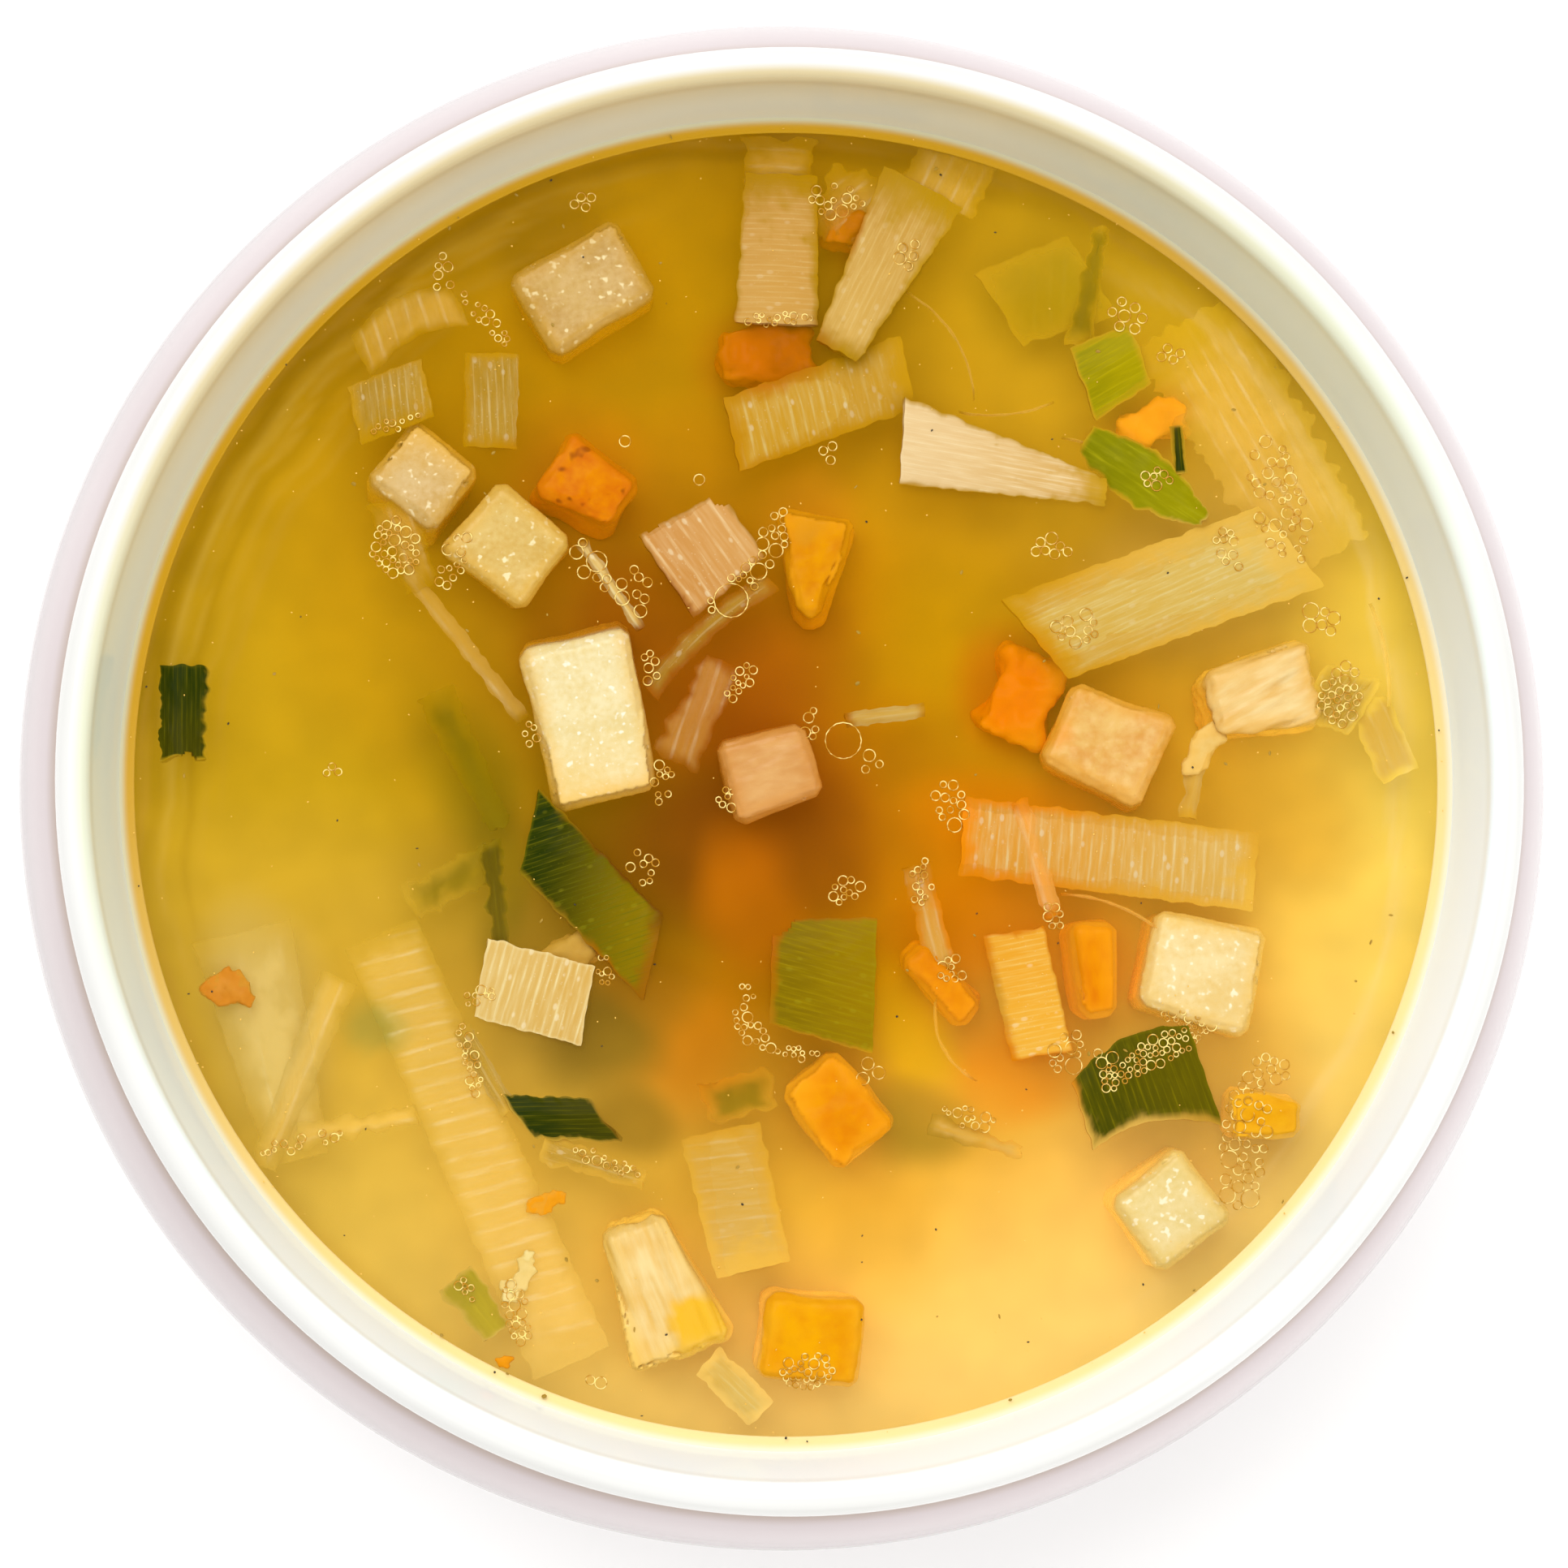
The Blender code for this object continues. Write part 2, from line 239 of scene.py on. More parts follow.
world = bpy.data.worlds.new("studio")
scene.world = world
world.use_nodes = True
world.node_tree.nodes["Background"].inputs["Color"].default_value = (1.0, 0.99, 0.97, 1.0)
world.node_tree.nodes["Background"].inputs["Strength"].default_value = 0.80


def makeFloor():
    material, tree, shader = newMaterial("paperWhiteTable", Roughness=0.8)  # plain and matt
    place = ownPlace(tree)
    mottle = noiseAt(tree, place, 3.0, 0.0)
    tone = mixColours(tree, mottle, asColour("fbfbfb"), asColour("ffffff"))
    tree.links.new(tone, shader.inputs["Base Color"])
    mesh = bpy.data.meshes.new("floor")
    half = 3.0
    corners = [(-half, -half, 0), (half, -half, 0), (half, half, 0), (-half, half, 0)]
    mesh.from_pydata(corners, [], [(0, 1, 2, 3)])
    mesh.materials.append(material)
    link(bpy.data.objects.new("floor", mesh))


makeFloor()
print("camera, lights and floor")

# ---- turned pieces: the bowl and the liquid in it

bowl = {
    "rimRadius": 68.0, "rimRoll": 1.65, "creaseRadius": 66.4, "creaseLevel": 65.2,
    "bellyRadius": bowlTop.x / mm, "bellyLevel": 51.0, "bellyFullness": 2.4,
    "footRadius": 42.0, "footInset": 1.4, "footWidth": 4.6, "footRecess": 2.6, "footDraft": 1.2,
    "neckRadius": 62.3, "neckLevel": 58.5, "neckFlare": 1.3,
    "wall": 6.0, "innerBellyLevel": 49.0, "floorLevel": 7.5, "height": bowlTop.z / mm,
    "steps": 200,
}


def bellyArc(radius, top, bottom, endRadius, steps):
    power = 2.0 / bowl["bellyFullness"]
    last = math.acos((endRadius / radius) ** (1.0 / power))
    angles = [last * step / steps for step in range(steps + 1)]
    return [(radius * math.cos(a) ** power, top - (top - bottom) * math.sin(a) ** power) for a in angles]


# Inside radius of the neck at a height, from the belly up to the rim.
def neckRadius(height):
    neck, level = bowl["neckRadius"], bowl["neckLevel"]
    if height <= level:
        part = (level - height) / (level - bowl["innerBellyLevel"])
        return neck + (bowl["bellyRadius"] - bowl["wall"] - neck) * (1.0 - math.cos(math.pi * part)) / 2.0
    rimLevel = bowl["height"] - bowl["rimRoll"]
    mouth = bowl["rimRadius"] - 2.0 * bowl["rimRoll"]
    return neck + (mouth - neck) * ((height - level) / (rimLevel - level)) ** bowl["neckFlare"]


def spaced(first, last, count):
    return [first + (last - first) * step / count for step in range(count)]


def innerWallBelow(height, steps):
    wet = [(neckRadius(z), z) for z in spaced(height, bowl["innerBellyLevel"], steps)]
    inner = bowl["bellyRadius"] - bowl["wall"]
    floor = bellyArc(inner, bowl["innerBellyLevel"], bowl["floorLevel"], 0.0, 16)
    floor[-1] = (0.0, bowl["floorLevel"])
    return wet + floor


def bowlSection():
    footOut = bowl["footRadius"] - bowl["footInset"]
    footIn = footOut - bowl["footWidth"]
    recess, draft = bowl["footRecess"], bowl["footDraft"]
    foot = [(0.0, recess), (footIn - draft - 0.5, recess), (footIn - draft * 0.8, recess - 0.5)]
    foot += [(footIn, 0.25), (footIn + 0.3, 0.0), (footOut - 0.3, 0.0), (footOut, 0.25)]
    outside = bellyArc(bowl["bellyRadius"], bowl["bellyLevel"], 0.0, bowl["footRadius"], 22)[::-1]
    outside[0] = (bowl["footRadius"], 0.5)
    reach = bowl["bellyRadius"] - bowl["creaseRadius"]
    rise = bowl["creaseLevel"] - bowl["bellyLevel"]
    turns = [math.radians(angle) for angle in range(9, 88, 8)]
    shoulder = [
        (bowl["creaseRadius"] + reach * math.cos(a), bowl["bellyLevel"] + rise * math.sin(a)) for a in turns
    ]
    roll = bowl["rimRoll"]
    middle = (bowl["rimRadius"] - roll, bowl["height"] - roll)
    angles = [math.radians(angle) for angle in range(-60, 181, 15)]
    rim = [(middle[0] + roll * math.cos(a), middle[1] + roll * math.sin(a)) for a in angles]
    dry = [(neckRadius(z), z) for z in spaced(bowl["height"] - roll, brothLevel, 12)][1:]
    outer = foot + outside + shoulder + rim[:3]
    inner = rim[3:] + dry + innerWallBelow(brothLevel, 8)
    return outer + inner, [1.0] * len(outer) + [0.0] * len(inner)


# Sweeps a section, drawn as radius and height, round the bowl's axis, and closes it on the axis.
def makeTurningTree():
    tree, given = newGeometryTree("turning", {"Steps": 128, "Material": None})
    section = addNode(tree, "GeometryNodeMeshToCurve", {0: given["Geometry"]}).outputs[0]
    ring = ringCurve(tree, given["Steps"], mm)
    swept = addNode(tree, "GeometryNodeCurveToMesh", {0: ring, 1: section}).outputs[0]
    closed = addNode(tree, "GeometryNodeMergeByDistance", {0: swept, "Distance": 2e-6}).outputs[0]
    smooth = addNode(tree, "GeometryNodeSetShadeSmooth", {0: closed}).outputs[0]
    endTree(tree, smooth, given["Material"])
    return tree


turningTree = makeTurningTree()


def turnPiece(name, section, material, marks=None, steps=None, closed=False):
    points = [(radius * mm - mm, -height * mm, 0.0) for radius, height in section]
    edges = [(at, at + 1) for at in range(len(points) - 1)]
    if closed:
        edges.append((len(points) - 1, 0))
    mesh = bpy.data.meshes.new(name + "Section")
    mesh.from_pydata(points, edges, [])
    if marks:
        keep(mesh, "outside", marks)
    live = link(bpy.data.objects.new(name + "Section", mesh))
    piece = runTree(live, turningTree, name, {"Steps": steps or bowl["steps"], "Material": material})
    faceOutwards(piece)
    return piece


def faceOutwards(piece):
    shell = bmesh.new()
    shell.from_mesh(piece.data)
    bmesh.ops.recalc_face_normals(shell, faces=shell.faces)
    shell.to_mesh(piece.data)
    shell.free()


# Glazed stoneware: milk-white and glassy inside and over the rim, a paler gloss with a lilac
# tint outside, and a beige painted shade along the crease, where the rim overhangs the belly.
def makeGlaze():
    material, tree, shader = newMaterial("glazedStoneware", Roughness=0.12, IOR=1.5)
    place = ownPlace(tree)
    parts = addNode(tree, "ShaderNodeSeparateXYZ", {0: place}).outputs
    height = parts["Z"]
    outside = stored(tree, "outside")
    cloud = noiseAt(tree, place, 60.0, 0.0)
    white = mixColours(tree, cloud, asSeen("f4f4f0"), asSeen("fafaf8"))
    flat = combined(tree, parts["X"], parts["Y"], 0.0)
    radius = addNode(tree, "ShaderNodeVectorMath", {0: flat}, operation="LENGTH").outputs["Value"]
    # Painted shade and reflection on the inside: the wall under the window faces away from it, so it is
    # painted darker, and yellow from the stock it reflects.
    side = reckon(tree, "MULTIPLY_ADD", parts["X"], -0.35, parts["Y"])
    # Towards the lip the wall is painted with more shade and a yellower reflection of the stock.
    lipShadeAndReflection = smoothBand(tree, radius, 63.2 * mm, 65.4 * mm)
    middle = mixColours(tree, lipShadeAndReflection, asColour("d3dccf"), asColour("d3d6bc"))
    shadedSideWall = mixColours(tree, lipShadeAndReflection, asColour("d6d6c2"), asColour("ccbc90"))
    # The lit wall across from the window is painted bluish white.
    wall = mixColours(tree, smoothBand(tree, side, -45 * mm, 30 * mm), asColour("ecf7ff"), middle)
    wall = mixColours(tree, smoothBand(tree, side, 24 * mm, 62 * mm), wall, shadedSideWall)
    white = mixColours(tree, smoothBand(tree, radius, 66.4 * mm, 65.4 * mm), white, wall)
    lilac = mixColours(tree, cloud, asSeen("e2d5d7"), asSeen("e9dddf"))
    lilac = mixColours(tree, smoothBand(tree, height, 62.0 * mm, 56.0 * mm), lilac, asSeen("c0b3b5"))
    # Painted shade: the lilac turns beige and darker in the crease under the overhanging rim.
    crease = bowl["creaseLevel"] * mm
    creaseShade = smoothBand(tree, height, crease - 1.8 * mm, crease)
    thin = mixColours(tree, creaseShade, lilac, asSeen("cdb8a6"))
    shade = mixColours(tree, smoothBand(tree, outside, 0.2, 0.9), white, thin)
    tree.links.new(shade, shader.inputs["Base Color"])
    return material


section, marks = bowlSection()
bowlPiece = finishPiece(turnPiece("bowl_glazed", section, makeGlaze(), marks), "bowl", "bowl")
print("bowl:", len(bowlPiece.data.polygons), "faces")

# ---- broth: a clear skin over an opaque depth, which holds the glow of what is sunk and painted light and shade

# Colour of the liquid by direction, every 45 degrees from +X, at three radii, and in the middle.
# Painted light and shade: brighter to the lower right, where light through the stock meets the white wall,
# darker to the top and left, in the wall's shade.
brothTones = {
    60: ("ffde5c", "e8bc20", "cc9600", "ca9900", "cda418", "e2bb4a", "fdd472", "ffd977"),
    40: ("dca828", "dba81c", "c08e00", "bc8800", "c29a10", "e0b440", "e6b236", "f2b844"),
    20: ("c88800", "c48c00", "c08000", "ac6a00", "a47800", "966e00", "bc7e00", "d68c00"),
    0: ("a45800",) * 8,
}
# What lies too deep to show an edge, and two painted shadows of pieces: place, half length and width, turn
# in degrees, colour, strength.
glows = [
    ((-6, 10), (13, 12), 0, "a85200", 0.85), ((-14, 15.5), (7, 6), -40, "a25600", 0.9),
    ((-7, -6), (15, 8), 10, "742e00", 0.95), ((1, -7.5), (8, 6), 0, "824000", 0.75),
    ((9, 19), (4, 6), 0, "c48200", 0.5), ((16, 14), (9, 12), 20, "c69400", 0.9),
    ((12, 3), (6, 6), 0, "c08200", 0.6), ((21, 9), (5, 5.5), 0, "cf6c00", 0.9),
    ((20.5, -4), (9.5, 6), -10, "ee8c00", 1.0), ((19.5, -12.5), (9, 6), 0, "ee8800", 0.95),
    ((21.5, -27.5), (8.5, 5.5), 15, "f08c00", 1.0), ((29, -17), (6, 7), 0, "f09400", 0.8),
    ((11.5, -24), (5, 8), 20, "f0bc00", 1.0), ((12.5, -32.5), (6, 4.5), -15, "82700e", 0.95),
    ((-3.5, -11.5), (5, 8), 5, "cc6c00", 0.95), ((-10.5, -24), (8.5, 9), 15, "d87c00", 1.0),
    # The first glow on the next line is a painted shadow in the stock.
    ((-17.5, -24.5), (6.5, 5.5), -10, "5e4a04", 0.95), ((-14.8, -32.2), (4.6, 3.2), -20, "745200", 0.9),
    ((-16, -16.5), (4.4, 3.6), 0, "b87000", 1.0),
    ((-12, -19), (5, 5), 0, "a06806", 0.7), ((-31, 2), (4.5, 10), 24, "7c7000", 0.95),
    ((-27.5, -9), (3, 8), 0, "6e6a04", 0.8), ((-31, -10), (9, 4), 25, "b49410", 0.7),
    ((-2, 40.5), (6, 4.5), 0, "be6200", 0.95), ((-18.5, 29), (8, 7), -20, "cc7a04", 0.85),
    ((-8, 31), (8, 7), 20, "c08204", 0.6), ((2.5, 25.5), (5, 5), 0, "e39a14", 0.8),
    ((5.6, 52.4), (3, 3.4), 0, "c86a08", 0.6), ((25, 46.5), (8, 6), 20, "bd9a10", 0.8),
    ((34.5, 34.5), (5, 3), 25, "e08c20", 0.8), ((45, 27), (8, 14), 15, "e4b446", 0.8),
    # The first glow on the next line is the painted shade beside potato_1.
    ((-24, 51), (6, 2.6), 33, "9c7400", 0.8), ((-38, 14), (9, 18), 20, "c08e04", 0.6),
    ((-22, 12), (4, 6), 20, "a06000", 0.7), ((-36, -14), (8, 9), 0, "d9ae34", 0.5),
    ((48, -3), (9, 8), 0, "d09418", 0.7), ((8, -41), (6, 5), 0, "dca02c", 0.7),
    ((16, -30.5), (6, 4), 0, "d8a02c", 0.4), ((43, -31), (8, 11), -20, "d09410", 0.75),
    ((5, -45), (10, 6), 0, "ebb53a", 0.5), ((-49, -22), (6, 11), 15, "d8c070", 0.8),
    ((-38.6, -23), (3.4, 2.4), -20, "8f9440", 0.85), ((39, 20), (12, 8), 20, "e8c05e", 0.6),
]


# Painted light and dark arcs along the wall, the highlights and shade of the sunk wall seen through the
# stock: radius, half width, from and to in degrees.
streaks = [
    (59.2, 0.5, 95, 215, "dcb444", 0.5), (56.9, 0.6, 100, 200, "a47a00", 0.35),
    (55.4, 0.4, 100, 195, "d4a834", 0.35),
    (60.4, 0.8, 60, 190, "a07400", 0.45), (58.8, 0.7, -60, 60, "ffe49c", 0.35),
    (61.6, 0.5, 20, 235, "d8a838", 0.6), (57.8, 0.35, 105, 185, "dcb44a", 0.35),
    (53.6, 0.5, 120, 185, "cda030", 0.3),
]


def toneTable():
    radii = sorted(brothTones)
    return np.array(radii, float), np.array([[linear(c) for c in brothTones[r]] for r in radii])


# Colour of the liquid at each place, in millimetres, with its painted light and shade, with or without the
# glows.
def brothColours(x, y, withGlows):
    radii, table = toneTable()
    turn = (np.degrees(np.arctan2(y, x)) % 360) / 45
    first = np.floor(turn).astype(int) % 8
    across = (turn - np.floor(turn))[:, None]
    radius = np.clip(np.hypot(x, y), 0, radii[-1] - 0.01)
    ring = np.searchsorted(radii, radius, side="right") - 1
    out = ((radius - radii[ring]) / (radii[ring + 1] - radii[ring]))[:, None]
    low = table[ring, first] * (1 - across) + table[ring, (first + 1) % 8] * across
    high = table[ring + 1, first] * (1 - across) + table[ring + 1, (first + 1) % 8] * across
    colours = low * (1 - out) + high * out
    if withGlows:
        for (gx, gy), (long, wide), degrees, hexColour, strength in glows:
            angle = math.radians(degrees)
            along = ((x - gx) * math.cos(angle) + (y - gy) * math.sin(angle)) / long
            aside = ((y - gy) * math.cos(angle) - (x - gx) * math.sin(angle)) / wide
            reach = np.hypot(along, aside)
            amount = strength * (1 - np.clip((reach - 0.35) / 0.9, 0, 1) ** 2) ** 2
            amount = amount[:, None]
            colours = colours * (1 - amount) + np.array(linear(hexColour)) * amount
    middle = np.degrees(np.arctan2(y, x))
    # Painted highlights and shade of the sunk wall, in arcs along it.
    for ringRadius, half, start, end, hexColour, strength in streaks:
        swing = np.abs((middle - (start + end) / 2 + 180) % 360 - 180) / ((end - start) / 2)
        amount = strength * np.clip(1 - ((np.hypot(x, y) - ringRadius) / half) ** 2, 0, 1)
        amount = (amount * np.clip(1 - swing ** 4, 0, 1))[:, None]
        colours = colours * (1 - amount) + np.array(linear(hexColour)) * amount
    return colours


def paintBroth(piece, withGlows):
    places = pointsOf(piece)
    # The colours wander a little, as in a liquid that has just been stirred.
    drift = np.array([
        [noise.noise(Vector((x / 9, y / 9, level))) for level in (3.7, 11.3)] for x, y, z in places
    ])
    x, y = places[:, 0] + drift[:, 0] * 1.6, places[:, 1] + drift[:, 1] * 1.6
    colours = brothColours(x, y, withGlows)
    if withGlows:
        # Some of the clear stock lies over the glows, and takes some of the light.
        colours = 0.67 * colours + 0.18 * brothColours(x, y, False)
    colourPoints(piece, "brothTone", colours)


# Gives a piece the colour of the stock round it at each point, so that it can fade into it.
def steepPiece(piece):
    places = pointsOf(piece)
    colourPoints(piece, "steep", brothColours(places[:, 0], places[:, 1], True))


waterIOR = 1.34
broth = {
    "gap": 0.15, "skinAlpha": 0.18, "depth": 6.0, "ringSpacing": 0.6,
}
meniscus = {
    "rise": meniscusRise - 0.5, "width": 1.5, "steps": 7, "steepness": 2.2, "lift": 0.04, "overlap": 0.12,
}


# Clear stock with a little fat in it: the skin lets what floats under it show, tinted gold.
def makeStock(name, alpha, roughness):
    material, tree, shader = newMaterial(
        name, Roughness=roughness, IOR=waterIOR, Alpha=alpha, Specular_IOR_Level=0.06
    )
    tone = stored(tree, "brothTone", "Color")
    if alpha < 1.0:
        tree.links.new(tone, shader.inputs["Base Color"])
        return material
    place = ownPlace(tree)
    cloud = noiseAt(tree, place, 190.0, 1.0)
    dim = addNode(tree, "ShaderNodeMapRange", {0: cloud, 1: 0.3, 2: 0.7, 3: 0.93, 4: 1.07}).outputs[0]
    haze = addNode(tree, "ShaderNodeHueSaturation", {"Color": tone, "Value": dim, "Saturation": 1.0})
    tree.links.new(haze.outputs[0], shader.inputs["Base Color"])
    return material


def brothDepthSection():
    top = brothLevel - broth["depth"]
    edge = neckRadius(top) - broth["gap"]
    count = round(edge / broth["ringSpacing"])
    surface = [(edge * at / count, top) for at in range(count)]
    wall = innerWallBelow(top, 6)
    return surface + [(max(0.0, r - broth["gap"]), z + broth["gap"]) for r, z in wall[:-1]] + [
        (0.0, bowl["floorLevel"] + broth["gap"])
    ]


def skinSection():
    edge = neckRadius(brothLevel) + 0.05  # wets the glaze
    count = round(edge / (broth["ringSpacing"] * 1.5))
    return [(edge * at / count, brothLevel) for at in range(count + 1)]


deepStock = makeStock("goldenStockDeep", 1.0, 0.5)
deepPiece = turnPiece("broth_depth", brothDepthSection(), deepStock, steps=224)
paintBroth(deepPiece, True)
finishPiece(deepPiece, "broth", "broth")
skinPiece = turnPiece(
    "broth_surface", skinSection(), makeStock("goldenStockSkin", broth["skinAlpha"], 0.06), steps=160
)
paintBroth(skinPiece, False)
finishPiece(skinPiece, "broth", "broth")


# The liquid drawn up the glaze: thin enough for the white wall to show, pale away from the window.
def makeMeniscus():
    rise, wide, steps = meniscus["rise"], meniscus["width"], meniscus["steps"]
    material, tree, shader = newMaterial(
        "thinStockOnGlaze", Roughness=0.08, IOR=waterIOR, Specular_IOR_Level=0.2, Alpha=0.85
    )
    place = ownPlace(tree)
    parts = addNode(tree, "ShaderNodeSeparateXYZ", {0: place}).outputs
    away = reckon(tree, "SUBTRACT", reckon(tree, "MULTIPLY", parts["X"], 0.55), parts["Y"])
    lit = smoothBand(tree, away, -0.055, 0.060)
    height = smoothBand(tree, parts["Z"], (brothLevel + 0.1) * mm, (brothLevel + 0.75 * rise) * mm)
    shaded = mixColours(tree, height, asColour("cc9a18"), asColour("d2cca6"))
    bright = mixColours(tree, height, asColour("f8e09a"), asColour("fcf2d4"))
    tree.links.new(mixColours(tree, lit, shaded, bright), shader.inputs["Base Color"])
    edge = neckRadius(brothLevel + rise) + meniscus["overlap"]
    curve = []
    for at in range(steps + 1):
        part = at / steps
        height = brothLevel + meniscus["lift"] + rise * part ** meniscus["steepness"]
        curve.append((edge - wide * (1 - part), height))
    section = curve + [(edge + 0.1, brothLevel - 0.4), (edge - wide * 0.9, brothLevel - 0.3)]
    return turnPiece("meniscus", section, material, closed=True)


finishPiece(makeMeniscus(), "broth")
print("broth:", len(deepPiece.data.polygons) + len(skinPiece.data.polygons), "faces")

# ---- diced pieces


# A copy of a CAD solid, remeshed fine enough to carry its grain.
def fineCopy(node, name, voxel):
    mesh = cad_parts[node].data.copy()
    shell = bmesh.new()
    shell.from_mesh(mesh)
    bmesh.ops.remove_doubles(shell, verts=shell.verts, dist=1e-6)
    shell.to_mesh(mesh)
    shell.free()
    return remeshed(link(bpy.data.objects.new(name + "Blank", mesh)), name, voxel)


def remeshed(live, name, voxel):
    modifier = live.modifiers.new("remesh", "REMESH")
    modifier.mode = "VOXEL"
    modifier.voxel_size = voxel * mm
    modifier.use_smooth_shade = True
    piece = settle(live, name)
    piece.data.materials.clear()
    return piece


# Moves the surface by grain, in mm, with cells of the given sizes, longer along the fibre.
def roughen(piece, layers, seed, fibre=0.0, stretch=1.0):
    turn = Matrix.Rotation(-math.radians(fibre), 3, "Z")
    normals = [vertex.normal.copy() for vertex in piece.data.vertices]
    for vertex, normal in zip(piece.data.vertices, normals):
        spot = turn @ (vertex.co / mm)
        spot.x /= stretch
        shift = 0.0
        for size, height in layers:
            shift += height * noise.noise(spot / size + Vector((seed * 7.3, seed * 3.1, 0.0)))
        vertex.co += normal * shift * mm
    piece.data.update()


# Distance in mm from the outline of a piece, seen from above, at each of its points.
def markInset(piece):
    spots = sorted({(round(v.co.x / mm, 3), round(v.co.y / mm, 3)) for v in piece.data.vertices})
    outline = []
    for ordered in (spots, spots[::-1]):
        side = []
        for x, y in ordered:
            while len(side) > 1 and (side[-1][0] - side[-2][0]) * (y - side[-2][1]) <= (
                    side[-1][1] - side[-2][1]) * (x - side[-2][0]):
                side.pop()
            side.append((x, y))
        outline += side[:-1]
    corners = np.array(outline)
    edges = np.roll(corners, -1, axis=0) - corners
    edges /= np.linalg.norm(edges, axis=1)[:, None]
    points = np.array([(v.co.x / mm, v.co.y / mm) for v in piece.data.vertices])
    offsets = points[:, None, :] - corners[None]
    gaps = edges[None, :, 0] * offsets[:, :, 1] - edges[None, :, 1] * offsets[:, :, 0]
    keep(piece.data, "inset", gaps.min(axis=1))


fadeDepth = 2.4  # mm under the surface, where a piece has taken the colour of the stock


# Marks how deep each point lies in the liquid, in mm, then lifts the low end of a tilted top through
# the surface, so that it fades into the liquid instead of ending in a line.
def markDepth(piece, lift=True):
    depths = [brothLevel - vertex.co.z / mm for vertex in piece.data.vertices]
    keep(piece.data, "depth", depths)
    normals = [vertex.normal.z if lift else 0.0 for vertex in piece.data.vertices]
    for vertex, under, up in zip(piece.data.vertices, depths, normals):
        if -0.2 < under < fadeDepth and up > 0.75:
            vertex.co.z = (brothLevel + 0.12 + 0.04 * (fadeDepth - under)) * mm
    piece.data.update()


# Multiplies the colour of the stock round a piece, to meet the light that the piece lies in.
def stockAround(tree, gain):
    steep = stored(tree, "steep", "Color")
    return addNode(
        tree, "ShaderNodeVectorMath", {0: steep, "Scale": gain}, operation="SCALE"
    ).outputs[0]


# Boiled flesh: cream where it is out of the liquid, steeped in its colour further down. A stain
# is a patch of another colour at a place on the piece, and the grain may run along a fibre.
def makeFlesh(name, pale, dark, deep, grain, fibre=0.0, stretch=1.0, stain=None, speck=None,
              speckSize=0.7, gloss=0.35):
    material, tree, shader = newMaterial(name, Roughness=0.3, IOR=1.4, Specular_IOR_Level=gloss)
    place = ownPlace(tree)
    turned = addNode(
        tree, "ShaderNodeMapping", {"Vector": place, "Rotation": (0.0, 0.0, -math.radians(fibre))}
    ).outputs[0]
    squeezed = scaled(tree, turned, (1.0 / stretch, 1.0, 1.0))
    cells = noiseAt(tree, squeezed, 1000.0 / grain, 3.0)
    broad = noiseAt(tree, place, 260.0, 2.0)
    both = reckon(tree, "ADD", cells, broad)
    tone = mixColours(tree, smoothBand(tree, both, 0.6, 1.35), asSeen(dark), asSeen(pale))
    if stain:
        (x, y), size, colour = stain
        middle = (x * mm, y * mm, brothLevel * mm)
        gap = addNode(tree, "ShaderNodeVectorMath", {0: place, 1: middle}, operation="DISTANCE")
        worn = reckon(tree, "MULTIPLY_ADD", broad, 4 * mm, gap.outputs["Value"])
        patch = smoothBand(tree, worn, (size + 2.6) * mm, (size + 1.2) * mm)
        tone = mixColours(tree, patch, tone, asSeen(colour))
    if speck:
        dots = noiseAt(tree, place, 1000.0 / speckSize, 1.0)
        tone = mixColours(tree, smoothBand(tree, dots, 0.62, 0.74), tone, asSeen(speck))
    inset = stored(tree, "inset")
    ragged = reckon(tree, "MULTIPLY_ADD", broad, -1.6, inset)
    soaked = reckon(tree, "MULTIPLY", smoothBand(tree, ragged, 1.7, -1.0), 0.7)
    steeped = mixColours(tree, soaked, tone, asColour(deep, 1.1))
    depth = stored(tree, "depth")
    # Under the surface the piece takes the stock's colour, mixed brighter than it: painted light that makes
    # up for the shade on its sunk sides.
    around = mixColours(tree, 0.55, asColour(deep, 0.66), stockAround(tree, 1.25))
    sunk = smoothBand(tree, depth, -0.3, fadeDepth)
    tree.links.new(mixColours(tree, sunk, steeped, around), shader.inputs["Base Color"])
    rough = addNode(tree, "ShaderNodeMapRange", {0: cells, 1: 0.3, 2: 0.7, 3: 0.36, 4: 0.18})
    tree.links.new(rough.outputs[0], shader.inputs["Roughness"])
    raiseSurface(tree, shader, cells, 0.25, grain * 0.25 * mm)
    return material


